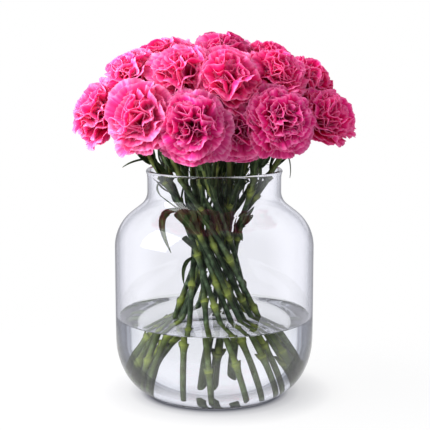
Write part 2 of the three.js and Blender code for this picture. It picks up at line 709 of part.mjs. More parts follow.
/** What a head must stay clear of: directions from its middle, and how far it may reach in each. */
function crowding(i) {
  const limits = [];
  MIDDLE.forEach((other, j) => {
    const to = other.clone().sub(MIDDLE[i]);
    const share = HEADS[i].radius / (HEADS[i].radius + HEADS[j].radius);
    if (j !== i) limits.push({ direction: to.clone().normalize(), reach: to.length() * share - HEAD_SPACE });
  });
  CURVES.forEach((curve, j) => {
    if (j === i) return;
    for (let d = curve.length; d > curve.length - STALK_STRETCH; d -= 5) {
      const radius = d > curve.calyxStart ? CALYX_RADIUS : KNUCKLE_RADIUS;
      const to = curve.frame(d).at.sub(MIDDLE[i]);
      limits.push({ direction: to.clone().normalize(), reach: to.length() - radius - STALK_SPACE });
    }
  });
  return limits.filter(({ reach }) => reach < HEADS[i].radius * ENVELOPE);
}

/** Draws a point in towards the head's middle where its neighbours leave less room than the full envelope. */
function squeeze(point, limits, envelope) {
  const length = point.length();
  let room = envelope;
  for (const { direction, reach } of limits) {
    const facing = point.dot(direction) / length;
    if (facing > 0) room = Math.min(room, reach / facing);
  }
  return point.multiplyScalar(room / envelope);
}

/** The waved edge of one layer, as two rings of points a petal's thickness apart. */
function edgeRings(layer, from, radius, draw) {
  const [run, climb] = [layer.edge[0] - from[0], layer.edge[1] - from[1]];
  const slope = new THREE.Vector2(run, climb).normalize();
  const count = layer.petals * layer.points;
  const first = (layer.turn * 2 * Math.PI) / layer.petals;
  const middle = Array.from({ length: count }, (_, c) => {
    const place = c % layer.points;
    const turn = (2 * Math.PI) / count;
    if (place === 0) {
      return { angle: first + c * turn, out: from[0] + run * layer.notch, up: from[1] + climb * layer.notch };
    }
    const reach = 1 - ROUNDING + ROUNDING * Math.sin((place / layer.points) * Math.PI) + UNEVEN * draw();
    const wave = layer.ruffle * (place % 2 ? 1 : -1) * between(draw, 0.6, 1.4);
    return {
      angle: first + (c + between(draw, -0.15, 0.15)) * turn,
      out: from[0] + run * reach - slope.y * wave,
      up: from[1] + climb * reach + slope.x * wave,
    };
  });
  return [-1, 1].map((side) => {
    const offset = (side * PETAL_THICKNESS) / 2;
    const points = middle.map(({ angle, out, up }) =>
      cylindrical(out * radius - slope.y * offset, angle, up * radius + slope.x * offset));
    return { first, points };
  });
}

function plainRing([out, up, count], first, radius) {
  const points = Array.from({ length: count }, (_, c) =>
    cylindrical(out * radius, first + (c / count) * 2 * Math.PI, up * radius));
  return { first, points };
}

/** One closed skin through rings of points, from a single bottom point to a single top point. */
function ringed(rings) {
  const starts = rings.map((_, r) => rings.slice(0, r).reduce((sum, ring) => sum + ring.points.length, 0));
  const index = [];
  for (let r = 0; r + 1 < rings.length; r++) {
    const [low, high] = [rings[r], rings[r + 1]];
    const [n, m] = [low.points.length, high.points.length];
    const step = (2 * Math.PI) / m;
    const skip = m === 1 ? 0 : Math.round((low.first - high.first) / step);
    const lag = m === 1 ? 0 : high.first + skip * step - low.first;
    const a = (i) => starts[r] + (i % n);
    const b = (j) => starts[r + 1] + ((((j + skip) % m) + m) % m);
    let [i, j] = [0, 0];
    while (i < (n > 1 ? n : 0) || j < (m > 1 ? m : 0)) {
      const nextLow = n > 1 && i < n ? ((i + 1) / n) * 2 * Math.PI : Infinity;
      const nextHigh = m > 1 && j < m ? lag + ((j + 1) / m) * 2 * Math.PI : Infinity;
      if (nextHigh <= nextLow + 1e-6) {
        index.push(a(i), b(j), b(j + 1));
        j++;
      } else {
        index.push(a(i), b(j), a(i + 1));
        i++;
      }
    }
  }
  const positions = rings.flatMap(({ points }) => points.flatMap((point) => point.toArray()));
  const geometry = new THREE.BufferGeometry();
  geometry.setAttribute('position', new THREE.Float32BufferAttribute(positions, 3));
  geometry.setIndex(signedVolume(positions, index) < 0 ? index.reverse() : index);
  return geometry;
}

/** Axes of a head's own frame, with its third axis the way that it faces. */
function headAxes(i) {
  const side = UP.clone().cross(FACING[i]).normalize();
  return new THREE.Matrix4().makeBasis(side, FACING[i].clone().cross(side), FACING[i]).setPosition(MIDDLE[i]);
}

function bloom(i) {
  const { radius } = HEADS[i];
  const axes = headAxes(i);
  const inward = axes.clone().setPosition(0, 0, 0).transpose();
  const limits = crowding(i);
  for (const { direction } of limits) direction.applyMatrix4(inward);
  const draw = seeded(i + 71);
  const base = (-HEAD_BASE + GAP) / radius;
  const seat = [plainRing([0, base, 1], 0, radius), plainRing([SEAT, base, 6], 0, radius)];
  const petals = [plainRing(BELLY, 0, radius)];
  let inner = PETAL_ROOT;
  for (const layer of LAYERS) {
    const edges = edgeRings(layer, inner, radius, draw);
    inner = layer.valley;
    petals.push(...edges, plainRing(inner, edges[0].first, radius));
  }
  const spin = 2 * Math.PI * draw();
  for (const ring of [...seat, ...petals]) {
    ring.first += spin;
    for (const point of ring.points) point.applyAxisAngle(UP, spin);
  }
  for (const point of petals.flatMap(({ points }) => points)) squeeze(point, limits, ENVELOPE * radius);
  return ringed([...seat, ...petals]).applyMatrix4(axes);
}

// ---------- The whole ----------

const GLASS = new THREE.MeshStandardMaterial({ color: 0xe8ecf0, roughness: 0.05, metalness: 0 });
const WATER = new THREE.MeshStandardMaterial({ color: 0xd5e0e6, roughness: 0.05, metalness: 0 });
const GREEN = new THREE.MeshStandardMaterial({ color: 0x4c6347, roughness: 0.55, metalness: 0 });
const PINK = new THREE.MeshStandardMaterial({ color: 0xdb3f86, roughness: 0.7, metalness: 0 });

function piece(name, geometry, material) {
  const mesh = new THREE.Mesh(geometry, material.clone());
  mesh.name = name;
  return mesh;
}

const carnations = new THREE.Group();
carnations.add(piece('vase', vase(), GLASS));
carnations.add(piece('water', water(), WATER));
HEADS.forEach((_, i) => {
  const number = String(i + 1).padStart(2, '0');
  carnations.add(piece(`stem_${number}`, stem(i), GREEN));
  carnations.add(piece(`bloom_${number}`, bloom(i), PINK));
});

export default carnations;
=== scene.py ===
"""Pink carnations in water in a clear glass vase. Sizes are in millimetres until a mesh is placed."""
import math
from functools import partial

import bpy
import numpy as np
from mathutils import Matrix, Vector


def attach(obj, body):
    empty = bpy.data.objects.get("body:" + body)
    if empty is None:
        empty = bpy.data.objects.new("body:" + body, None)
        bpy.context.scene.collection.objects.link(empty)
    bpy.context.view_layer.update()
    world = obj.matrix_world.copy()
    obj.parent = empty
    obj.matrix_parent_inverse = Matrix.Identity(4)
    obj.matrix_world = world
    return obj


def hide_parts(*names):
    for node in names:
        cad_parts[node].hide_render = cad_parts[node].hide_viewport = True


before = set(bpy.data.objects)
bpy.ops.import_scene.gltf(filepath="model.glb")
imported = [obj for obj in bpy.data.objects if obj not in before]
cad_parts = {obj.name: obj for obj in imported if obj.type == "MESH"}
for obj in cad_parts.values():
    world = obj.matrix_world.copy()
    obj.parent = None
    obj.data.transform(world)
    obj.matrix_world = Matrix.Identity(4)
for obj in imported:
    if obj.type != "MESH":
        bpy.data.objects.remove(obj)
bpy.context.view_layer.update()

MM = 0.001

# ---------- Camera: the photograph's own place, a little above the rim and looking down ----------

CAMERA_AT = (0.72, -1198.1, 368.6)
CAMERA_DOWN = math.radians(9.15)
CAMERA_LENS = 104.7  # on a 36 mm film back

bpy.ops.object.camera_add(location=[c * MM for c in CAMERA_AT], rotation=(math.pi / 2 - CAMERA_DOWN, 0, 0))
camera = bpy.context.object
camera.name = "camera"
camera.data.lens = CAMERA_LENS
camera.data.sensor_width = 36
camera.data.clip_start = 0.05
bpy.context.scene.camera = camera

# ---------- Sizes, the same as the solids' ----------

VASE_HEIGHT = 221
BODY_RADIUS = 96.5
BASE_RADIUS = 55
CORNER_HEIGHT = 56
SHOULDER_START = 146
SHOULDER_ARC = 41
SHOULDER_TURN = math.radians(52)
NECK_ARC = 18
NECK_RADIUS = 64.6
LIP_FLARE = 1.3
LIP_HEIGHT = 4
WALL = 3
FLOOR = 5
VASE_SIDES = 32
WATER_LEVEL = 76.8
GAP = 0.3

STEM_RADIUS = 2.8
STEM_SIDES = 6
KNUCKLE_RADIUS = 3.9
KNUCKLE_HALF = 6
KNUCKLE_SPACING = 57
KNUCKLE_SPREAD = 0.1
FIRST_KNUCKLE = (18, 58)
LAST_KNUCKLE = 16
JOINT_SPACE = 12
CALYX_LENGTH = 30
CALYX_RADIUS = 7
FOOT_RADIUS = 69
FOOT_HEIGHT = 12
WAIST_HEIGHT = 138
LEAF_WIDTH = 6
LEAF_LENGTH = (31, 57)
LEAF_LEAN = (16, 32)
LEAF_CURL = 0.2
LEAF_DROOP = 0.08
LEAF_THICKNESS = 0.7
LEAF_SHAPE = ((0, 0.4), (0.35, 1), (0.72, 0.75), (1, 0))
CUT_SHAPE = ((0, 0.4), (0.5, 0.8), (1, 1))
LEAF_ROOM = 0.8
LEAF_ZONE = (158, 246)
HEAD_BASE = 17

LOWER, UPPER, TOP = 20, 13, 5.5
# each flower head: middle, turn and lift of the way it faces, radius, ring of the waist
HEADS = [
    ((-103, -22, 275), -152, 38, 34, LOWER),
    ((-66, -75, 274), -124, 28, 35, LOWER),
    ((-18, -97, 268), -95, 12, 36, LOWER),
    ((23, -66, 263), -80, 4, 34, UPPER),
    ((57, -80, 273), -66, 20, 34, LOWER),
    ((102, -25, 271), -34, 36, 34, LOWER),
    ((87, 46, 277), 28, 36, 35, LOWER),
    ((36, 91, 270), 68, 30, 35, LOWER),
    ((-30, 94, 269), 108, 30, 35, LOWER),
    ((-84, 50, 281), 149, 36, 35, LOWER),
    ((-72, -25, 309), -150, 46, 34, UPPER),
    ((-29, -50, 312), -112, 48, 34, UPPER),
    ((13, -60, 303), -85, 34, 35, UPPER),
    ((54, -40, 309), -45, 46, 34, UPPER),
    ((84, 12, 300), 5, 42, 33, UPPER),
    ((31, 57, 307), 62, 50, 35, UPPER),
    ((-34, 58, 307), 122, 50, 35, UPPER),
    ((7, 2, 322), -60, 78, 35, TOP),
    ((-48, 16, 318), 165, 64, 34, TOP),
    ((46, 18, 316), 20, 64, 33, TOP),
]
# leaves that stand out from the bunch: stem, height of the root, point passed, tip, width, and whether it is
# seen flat and whether its end is cut off
SHOWN_LEAVES = [
    (1, 230, (-72, -12, 233), (-87, -18, 224), 4.5, False, False),
    (6, 232, (76, -4, 236), (72, -8, 213), 3.5, False, False),
    (5, 240, (68, -40, 246), (85, -59, 255), 6, False, False),
    (1, 212, (-57, -14, 209), (-50, -18, 196), 4, False, False),
    (1, 180, (-63, -27, 190), (-41, -26, 143), 7, True, False),
    (1, 154, (-21, -24, 166), (-35, -28, 182), 9, True, True),
    (1, 158, (-17, -23, 168), (-23, -25, 182), 9, True, True),
    (10, 144, (-25, -14, 152), (-29, -19, 158), 6, True, True),
    (9, 134, (-33, -16, 133), (-29, -18, 110), 4, True, False),
    (5, 166, (31, -14, 171), (37, -16, 176), 5, False, False),
    (5, 162, (25, -11, 160), (27, -15, 153), 4.5, False, False),
]

MIDDLE = np.array([head[0] for head in HEADS], float)
HEAD_RADIUS = np.array([head[3] for head in HEADS], float)
FACING = np.array([
    (math.cos(lift) * math.cos(turn), math.cos(lift) * math.sin(turn), math.sin(lift))
    for turn, lift in ((math.radians(head[1]), math.radians(head[2])) for head in HEADS)
])
STEMS = range(len(HEADS))
UP = np.array((0.0, 0.0, 1.0))


def seeded(seed):
    """Draws numbers between two limits, the same ones every time."""
    state = seed * 7919

    def draw(low=0, high=1):
        nonlocal state
        state = state * 16807 % 2147483647
        return low + (high - low) * (state / 2147483647)

    for _ in range(6):
        draw()
    return draw


def unit(vectors):
    return vectors / np.maximum(np.linalg.norm(vectors, axis=-1, keepdims=True), 1e-12)


def lengths(vectors):
    return np.linalg.norm(vectors, axis=-1)


def cylindrical(radius, turn, z):
    return np.array((radius * math.cos(turn), radius * math.sin(turn), z))


# ---------- Where the stems run ----------

TWIST = math.radians(66)
BEND_STEPS = 10
BEND_START = 46
BEND_END = 14
ROUNDS = 260
EASE = 0.4
PULL_BACK = 0.004
SIDE_SPACE = 1.5
OTHER_HEAD_SPACE = 1
WAIST_JITTER = (-0.06, 0.06)
FOOT_JITTER = (-0.1, 0.1)
FOOT_RADIUS_JITTER = (-3.5, 3.5)
FOOT_PLAY = 6  # how far outside its circle a foot may slide
NECK_LIMIT = NECK_RADIUS - WALL - STEM_RADIUS - 2 * GAP
LEAN_HEIGHT = 2
NECK_START = 195
FUNNEL = 1.2


def waist_turns():
    """Each stem stands evenly in its ring round the waist, in the heads' order, turned on by the twist."""
    heading = np.arctan2(MIDDLE[:, 1], MIDDLE[:, 0])
    turns = {}
    for ring in (LOWER, UPPER, TOP):
        order = sorted((i for i in STEMS if HEADS[i][4] == ring), key=lambda i: heading[i])
        step = 2 * math.pi / len(order)
        mean = sum(np.exp(1j * (heading[i] - k * step)) for k, i in enumerate(order))
        for k, i in enumerate(order):
            turns[i] = float(np.angle(mean)) + k * step + TWIST
    return turns


def laid_routes():
    """Foot, waist, bend and end of every stem, before they are eased apart."""
    turns = waist_turns()
    routes = []
    for i in STEMS:
        draw = seeded(i + 11)
        ring = HEADS[i][4]
        at_waist = turns[i] + draw(*WAIST_JITTER)
        foot_radius = FOOT_RADIUS + draw(*FOOT_RADIUS_JITTER)
        at_foot = at_waist + math.acos(ring / foot_radius) + draw(*FOOT_JITTER)
        foot = cylindrical(foot_radius, at_foot, FOOT_HEIGHT)
        waist = cylindrical(ring, at_waist, WAIST_HEIGHT)
        end = MIDDLE[i] - FACING[i] * (HEAD_BASE + CALYX_LENGTH)
        bend = end - FACING[i] * BEND_END
        if ring == LOWER:
            bend = cylindrical(NECK_LIMIT, math.atan2(end[1], end[0]), VASE_HEIGHT + LEAN_HEIGHT)
        routes.append((foot, waist, bend, end))
    return np.array(routes)


def spots_along(routes):
    """Spots along every route, with the share that foot, waist, bend and end have in each."""
    reach = BEND_START / lengths(routes[:, 1] - routes[:, 0])[:, None]
    t = np.linspace(0, 1, BEND_STEPS + 1)[None]
    b0, b1, b2, b3 = (1 - t) ** 3, 3 * t * (1 - t) ** 2, 3 * t * t * (1 - t), t ** 3
    none = np.zeros_like(reach * t)
    bend = np.stack([-reach * b1, b0 + (1 + reach) * b1, b2 + none, b3 + none], axis=2)
    first = np.tile((1.0, 0, 0, 0), (len(routes), 1, 1))
    last = np.tile((0.0, 0, 0, 1), (len(routes), 1, 1))
    shares = np.concatenate([first, bend, last], axis=1)
    spots = shares @ routes
    spots[:, -1] += FACING * CALYX_LENGTH
    return spots, shares[:, :, :3]


def settled(routes):
    """Eases the routes apart, and off the glass and the other flowers, until every stem has its own room."""
    start = routes[:, :3].copy()
    pieces = BEND_STEPS + 2
    thick = np.full(pieces, STEM_RADIUS)
    thick[-1] = CALYX_RADIUS
    one, other = np.triu_indices(len(routes), 1)
    owner = np.arange(len(routes))
    for _ in range(ROUNDS):
        spots, shares = spots_along(routes)
        moved = np.zeros((len(routes), 3, 3))
        weight_sum = np.full((len(routes), 3), 0.2)

        def push(stem, weights, by):
            np.add.at(moved, stem, weights[:, :, None] * by[:, None, :])
            np.add.at(weight_sum, stem, weights ** 2)

        p, q = spots[one][:, :-1, None], spots[other][:, None, :-1]
        d1 = spots[one][:, 1:, None] - p
        d2 = spots[other][:, None, 1:] - q
        r = p - q
        a, c = (d1 * d1).sum(-1), (d2 * d2).sum(-1)
        b, d, e = (d1 * d2).sum(-1), (d1 * r).sum(-1), (d2 * r).sum(-1)
        s = np.clip((b * e - c * d) / np.maximum(a * c - b * b, 1e-9), 0, 1)
        t = np.clip((b * s + e) / c, 0, 1)
        s = np.clip((b * t - d) / a, 0, 1)
        apart = r + s[..., None] * d1 - t[..., None] * d2
        lack = thick[None, :, None] + thick[None, None, :] + SIDE_SPACE - lengths(apart)
        pair, i, j = np.nonzero(lack > 0)
        by = unit(apart[pair, i, j]) * (lack[pair, i, j] / 2)[:, None]
        for stems, piece, share, sign in ((one, i, s, 1), (other, j, t, -1)):
            stem, along = stems[pair], share[pair, i, j][:, None]
            push(stem, (1 - along) * shares[stem, piece] + along * shares[stem, piece + 1], sign * by)

        inner, inner_shares = spots[:, 2:-1], shares[:, 2:-1]
        radius = np.hypot(inner[..., 0], inner[..., 1])
        widening = np.maximum(0, inner[..., 2] - VASE_HEIGHT - STEM_RADIUS) * FUNNEL
        limit = np.where(inner[..., 2] < NECK_START, BODY_RADIUS, NECK_LIMIT + widening)
        stem, k = np.nonzero(radius > limit)
        flat = inner[stem, k] * (1, 1, 0)
        push(stem, inner_shares[stem, k], flat * ((limit - radius) / radius)[stem, k][:, None])
        off = inner[:, :, None] - MIDDLE[None, None]
        lack = HEAD_RADIUS + STEM_RADIUS + OTHER_HEAD_SPACE - lengths(off)
        lack[owner, :, owner] = -1
        stem, k, head = np.nonzero(lack > 0)
        push(stem, inner_shares[stem, k], unit(off[stem, k, head]) * lack[stem, k, head][:, None])

        foot = routes[:, 0] * (1, 1, 0)
        outside = lengths(foot) - FOOT_RADIUS - FOOT_PLAY
        far = outside > 0
        moved[far, 0] -= unit(foot[far]) * outside[far][:, None]
        weight_sum[far, 0] += 1
        routes[:, :3] += moved * EASE / weight_sum[:, :, None]
        routes[:, :3] += (start - routes[:, :3]) * PULL_BACK
        routes[:, :2, 2] = start[:, :2, 2]
    return routes


def followed(distances, known, values):
    """Points at distances along a line whose points are known at others."""
    return np.stack([np.interp(distances, known, column) for column in values.T], axis=1)


class Route:
    """A stem's middle line, measured by distance from its foot, with steady directions across it."""

    def __init__(self, i, foot, waist, bend, end):
        ahead = unit(waist - foot) * BEND_START
        t = np.linspace(0, 1, 160)[:, None]
        curve = (1 - t) ** 3 * waist + 3 * t * (1 - t) ** 2 * (waist + ahead)
        curve = curve + 3 * t * t * (1 - t) * bend + t ** 3 * end
        calyx = end + np.linspace(0, 1, 20)[1:, None] * FACING[i] * CALYX_LENGTH
        low = foot + np.linspace(0, 1, 40)[:-1, None] * (waist - foot)
        self.points = np.concatenate([low, curve, calyx])
        steps = lengths(np.diff(self.points, axis=0))
        self.distance = np.concatenate([[0], np.cumsum(steps)])
        self.length = self.distance[-1]
        self.calyx_start = self.length - CALYX_LENGTH
        self.tangents = unit(np.gradient(self.points, self.distance, axis=0))
        self.sideways = unit(np.array((-MIDDLE[i][1], MIDDLE[i][0], 0.0)))

    def frame(self, distance):
        """Where distances along the stem lie, with the direction along it and the two across it."""
        distance = np.atleast_1d(np.asarray(distance, float))
        inside = np.clip(distance, 0, self.length)
        at = followed(inside, self.distance, self.points)
        along = unit(followed(inside, self.distance, self.tangents))
        side = unit(self.sideways - (along @ self.sideways)[:, None] * along)
        out = np.cross(along, side)
        return at + along * (distance - inside)[:, None], along, side, out

    def beside(self, distance, offset, angle):
        """Points at an offset from the middle line, at an angle round it."""
        at, _, side, out = self.frame(distance)
        offset, angle = (np.broadcast_to(value, len(at)) for value in (offset, angle))
        return at + side * (offset * np.cos(angle))[:, None] + out * (offset * np.sin(angle))[:, None]


ROUTES = [Route(i, *points) for i, points in enumerate(settled(laid_routes()))]


def placed_joints():
    """Each stem's joints, as distances from its foot, moved on where they'd touch another stem's joint."""
    taken, joints = [], []
    for i, route in enumerate(ROUTES):
        draw = seeded(i + 43)
        found = []
        d = draw(*FIRST_KNUCKLE)
        while d < route.calyx_start - LAST_KNUCKLE:
            at = route.frame(d)[0][0]
            if any(np.linalg.norm(other - at) < JOINT_SPACE for other in taken):
                d += 2
                continue
            found.append(d)
            d += KNUCKLE_SPACING * draw(1 - KNUCKLE_SPREAD, 1 + KNUCKLE_SPREAD)
        taken += [route.frame(each)[0][0] for each in found]
        joints.append(found)
    return joints


JOINTS = placed_joints()


def arc(centre, across, up, start, stop, steps):
    """Points of a curved stretch of profile, without its first."""
    angles = np.linspace(start, stop, steps + 1)[1:]
    return [(centre[0] + across * math.cos(a), centre[1] + up * math.sin(a)) for a in angles]


def wall_outline(inset, floor_rise, fine=1):
    """The vase wall's outline from the edge of the floor up to the neck; inset moves it into the glass."""
    wide, tight = SHOULDER_ARC - inset, NECK_ARC + inset
    shoulder = arc((BODY_RADIUS - SHOULDER_ARC, SHOULDER_START), wide, wide, 0, SHOULDER_TURN, 3 * fine)
    shoulder_end = BODY_RADIUS - SHOULDER_ARC + SHOULDER_ARC * math.cos(SHOULDER_TURN)
    hollow_start = NECK_RADIUS + NECK_ARC * (1 - math.cos(SHOULDER_TURN))
    run = (shoulder_end - hollow_start) / math.sin(SHOULDER_TURN)
    neck_start = SHOULDER_START + (SHOULDER_ARC + NECK_ARC) * math.sin(SHOULDER_TURN)
    neck_start += run * math.cos(SHOULDER_TURN)
    centre = (NECK_RADIUS + NECK_ARC, neck_start)
    edge = BASE_RADIUS - inset
    corner_across, corner_up = BODY_RADIUS - BASE_RADIUS, CORNER_HEIGHT - floor_rise
    corner = arc((edge, CORNER_HEIGHT), corner_across, corner_up, -math.pi / 2, 0, 4 * fine)
    start = (centre[0] - tight * math.cos(SHOULDER_TURN), neck_start - tight * math.sin(SHOULDER_TURN))
    hollow = arc(centre, tight, tight, math.pi + SHOULDER_TURN, math.pi, 2 * fine)
    return [(edge, floor_rise), *corner, (BODY_RADIUS - inset, SHOULDER_START), *shoulder, start, *hollow]


INSIDE = np.array(wall_outline(WALL, FLOOR))


def glass_clearance(point):
    """How far a point inside the vase is from the glass, allowing for the flats of the solid's wall."""
    radius = math.hypot(point[0], point[1]) / math.cos(math.pi / VASE_SIDES)
    least = point[2] - FLOOR
    for start, stop in zip(INSIDE[:-1], INSIDE[1:]):
        along, offset = stop - start, np.array((radius, point[2])) - start
        share = np.clip(offset @ along / (along @ along), 0, 1)
        side = math.copysign(1, along[0] * offset[1] - along[1] * offset[0])
        distance = np.linalg.norm(offset - share * along)
        if distance < abs(least):
            least = side * distance
    return least


def foot_start(route):
    """Where along a stem its cut end stands a small gap off the glass."""
    turns = np.arange(STEM_SIDES) * 2 * math.pi / STEM_SIDES

    def clearance(distance):
        ring = route.beside(np.full(STEM_SIDES, distance), np.full(STEM_SIDES, STEM_RADIUS), turns)
        return min(glass_clearance(point) for point in ring)

    low, high = -30.0, 30.0
    while high - low > 1e-3:
        middle = (low + high) / 2
        low, high = (middle, high) if clearance(middle) < GAP + 0.05 else (low, middle)
    return high


# ---------- Where the leaves grow ----------

def spine_of(i):
    """Spots along a stem's middle with the radius there."""
    route = ROUTES[i]
    d = np.arange(0, route.length + 1e-9, 3)
    joint = np.abs(d[:, None] - np.array(JOINTS[i])[None]).min(axis=1) < KNUCKLE_HALF + 1.5
    radius = np.where(d > route.calyx_start, CALYX_RADIUS, np.where(joint, KNUCKLE_RADIUS, STEM_RADIUS))
    return route.frame(d)[0], radius


SPINES = [spine_of(i) for i in STEMS]


def midline(root, via, tip, share):
    t = np.asarray(share, float)[:, None]
    at = (1 - t) ** 2 * root + 2 * t * (1 - t) * via + t * t * tip
    return at, unit(2 * (1 - t) * (via - root) + 2 * t * (tip - via))


def leaf_frame(leaf, share):
    """The leaf's middle at shares of its length, and the directions along, across and through it."""
    at, along = midline(leaf["root"], leaf["via"], leaf["tip"], share)
    wide = unit(np.cross(along, leaf["outward"]))
    return at, along, wide, unit(np.cross(along, wide))


def leaf_spots(leaf):
    share, breadth = np.array(CUT_SHAPE if leaf["cut"] else LEAF_SHAPE).T
    at, _, wide, _ = leaf_frame(leaf, share)
    half = wide * (breadth * leaf["width"] / 2)[:, None]
    left, right = at - half, at + half
    spots = []
    for r in range(len(share) - 1):
        for s in (0.25, 0.5, 0.75, 1):
            a, b = left[r] + s * (left[r + 1] - left[r]), right[r] + s * (right[r + 1] - right[r])
            spots += [a, (a + b) / 2, b]
    spots = np.array(spots)
    return spots[lengths(spots - left[0]) > KNUCKLE_RADIUS * 2]


def leaf_room(leaf, i, placed):
    """The least air from a leaf to the other stems, the other leaves, the heads and the glass."""
    spots = leaf_spots(leaf)
    room = [np.inf]
    for j in STEMS:
        if j != i:
            gaps = lengths(SPINES[j][0][None] - spots[:, None]) - SPINES[j][1]
            room.append(gaps.min() - LEAF_THICKNESS / 2)
    if len(placed):
        room.append(lengths(placed[None] - spots[:, None]).min() - LEAF_WIDTH / 3)
    room.append((lengths(MIDDLE[None] - spots[:, None]) - HEAD_RADIUS * 0.9).min())
    near = (spots[:, 2] > SHOULDER_START) & (spots[:, 2] < VASE_HEIGHT + 2)
    if near.any():
        room.append(np.abs(NECK_RADIUS - WALL / 2 - np.hypot(*spots[near, :2].T)).min() - WALL)
    return min(room)


def placed_leaves():
    leaves, placed = [], np.zeros((0, 3))
    for number, height, via, tip, width, seen_flat, cut in SHOWN_LEAVES:
        spine = SPINES[number - 1][0]
        root = spine[np.abs(spine[:, 2] - height).argmin()]
        via, tip = np.array(via, float), np.array(tip, float)
        sideways = np.cross(via - root, tip - via)
        outward = np.array((0, -1.0, 0)) if seen_flat else unit(np.cross(tip - root, sideways))
        leaf = dict(stem=number - 1, root=root, via=via, tip=tip, outward=outward, width=width, cut=cut)
        leaves.append(leaf)
        placed = np.concatenate([placed, leaf_spots(leaf)])
    for i, route in enumerate(ROUTES):
        draw = seeded(i + 101)
        for d in JOINTS[i]:
            at, along, _, _ = (each[0] for each in route.frame(d))
            if not LEAF_ZONE[0] <= at[2] <= LEAF_ZONE[1]:
                continue
            length = draw(*LEAF_LENGTH)
            lean = math.radians(draw(*LEAF_LEAN))
            best = None
            for turn in np.arange(12) * math.pi / 6:
                outward = route.beside([d], 1, turn)[0] - at
                start = along * math.cos(lean) + outward * math.sin(lean)
                via = at + start * length / 2
                tip = via + start * length / 2 + outward * length * LEAF_CURL - UP * length * LEAF_DROOP
                leaf = dict(stem=i, root=at, via=via, tip=tip, outward=outward, width=LEAF_WIDTH, cut=False)
                room = leaf_room(leaf, i, placed)
                if best is None or room > best[0]:
                    best = room, leaf
            if best[0] > LEAF_ROOM:
                leaves.append(best[1])
                placed = np.concatenate([placed, leaf_spots(best[1])])
    return leaves


LEAVES = placed_leaves()

# ---------- Workshop: the few operations that every piece is made with ----------


def only(*pieces):
    """Selects these pieces and nothing else."""
    bpy.ops.object.select_all(action="DESELECT")
    for piece in pieces:
        piece.select_set(True)
    bpy.context.view_layer.objects.active = pieces[0]


def sheet(name, across, along):
    """A flat sheet of faces, with its own UV map: across it from left to right, along it from root to tip."""
    bpy.ops.object.select_all(action="DESELECT")
    bpy.ops.mesh.primitive_grid_add(x_subdivisions=across, y_subdivisions=along, size=2, calc_uvs=True)
    piece = bpy.context.object
    piece.name = piece.data.name = name
    return piece


def sheet_places(piece):
    """For each point of a flat sheet: -1 to 1 across it and 0 to 1 along it."""
    spots = np.empty(len(piece.data.vertices) * 3, np.float32)
    piece.data.vertices.foreach_get("co", spots)
    spots = spots.reshape(-1, 3).astype(float)
    return spots[:, 0], (spots[:, 1] + 1) / 2


def put(mesh, points):
    """Moves every point of a mesh to its place, given in millimetres."""
    mesh.vertices.foreach_set("co", (np.asarray(points) * MM).astype(np.float32).ravel())
    mesh.update()


def mark(mesh, name, values):
    """Keeps a number for every point, which the materials read."""
    marks = mesh.attributes.get(name) or mesh.attributes.new(name, "FLOAT", "POINT")
    values = np.broadcast_to(np.asarray(values, np.float32), len(mesh.vertices))
    marks.data.foreach_set("value", values.copy())


def weld(piece, threshold=0.002):
    """Joins the points that meet, so that seams and poles are closed, and turns every face outwards."""
    only(piece)
    bpy.ops.object.mode_set(mode="EDIT")
    bpy.ops.mesh.select_all(action="SELECT")
    bpy.ops.mesh.remove_doubles(threshold=threshold * MM)
    bpy.ops.mesh.dissolve_degenerate(threshold=threshold * MM)
    bpy.ops.mesh.normals_make_consistent(inside=False)
    bpy.ops.object.mode_set(mode="OBJECT")


def thicken(piece, thickness, offset=0.0):
    """Gives a sheet its thickness, half on each side."""
    only(piece)
    wall = piece.modifiers.new("thickness", "SOLIDIFY")
    wall.thickness = thickness * MM
    wall.offset = offset
    bpy.ops.object.modifier_apply(modifier=wall.name)


def smooth(piece, angle):
    only(piece)
    bpy.ops.object.shade_smooth_by_angle(angle=math.radians(angle))


def joined(name, pieces):
    only(*pieces)
    if len(pieces) > 1:
        bpy.ops.object.join()
    whole = bpy.context.object
    whole.name = whole.data.name = name
    return whole


def copied(pattern, name):
    piece = pattern.copy()
    piece.data = pattern.data.copy()
    piece.name = piece.data.name = name
    bpy.context.scene.collection.objects.link(piece)
    return piece


def spun(name, profile, sides):
    """Spins a profile of (radius, height) points round the vase's axis."""
    bpy.ops.object.select_all(action="DESELECT")
    bpy.ops.mesh.primitive_plane_add(size=1)
    piece = bpy.context.object
    piece.name = piece.data.name = name
    bpy.ops.object.mode_set(mode="EDIT")
    bpy.ops.mesh.select_all(action="SELECT")
    bpy.ops.mesh.merge(type="CENTER")
    for _ in profile[1:]:
        bpy.ops.mesh.extrude_region_move()
    bpy.ops.object.mode_set(mode="OBJECT")
    put(piece.data, [(radius, 0, z) for radius, z in profile])
    bpy.ops.object.mode_set(mode="EDIT")
    bpy.ops.mesh.select_all(action="SELECT")
    bpy.ops.mesh.spin(steps=sides, angle=2 * math.pi, center=(0, 0, 0), axis=(0, 0, 1))
    bpy.ops.object.mode_set(mode="OBJECT")
    weld(piece)
    return piece


# ---------- Materials ----------

MIXED = {"data_type": "RGBA"}
MULTIPLIED = {"data_type": "RGBA", "blend_type": "MULTIPLY"}
EASED = {"interpolation_type": "SMOOTHSTEP"}
CLEAR = "fcfdfe"  # the glass and the water where they take nothing from the light
WAX_PATCH, LEAF_PATCH = 6.25, 8.3333  # how wide the paler patches are
STEM_RIBS, LEAF_LINES, PETAL_RAYS = 26.0, 14.0, 17.0  # how many across: one every 0.7, 0.5 and 2 mm


def hex_colour(code):
    """An sRGB hex value as the linear colour that a shader works in."""
    channels = [int(code[i:i + 2], 16) / 255 for i in (0, 2, 4)]
    return [c / 12.92 if c <= 0.04045 else ((c + 0.055) / 1.055) ** 2.4 for c in channels] + [1]


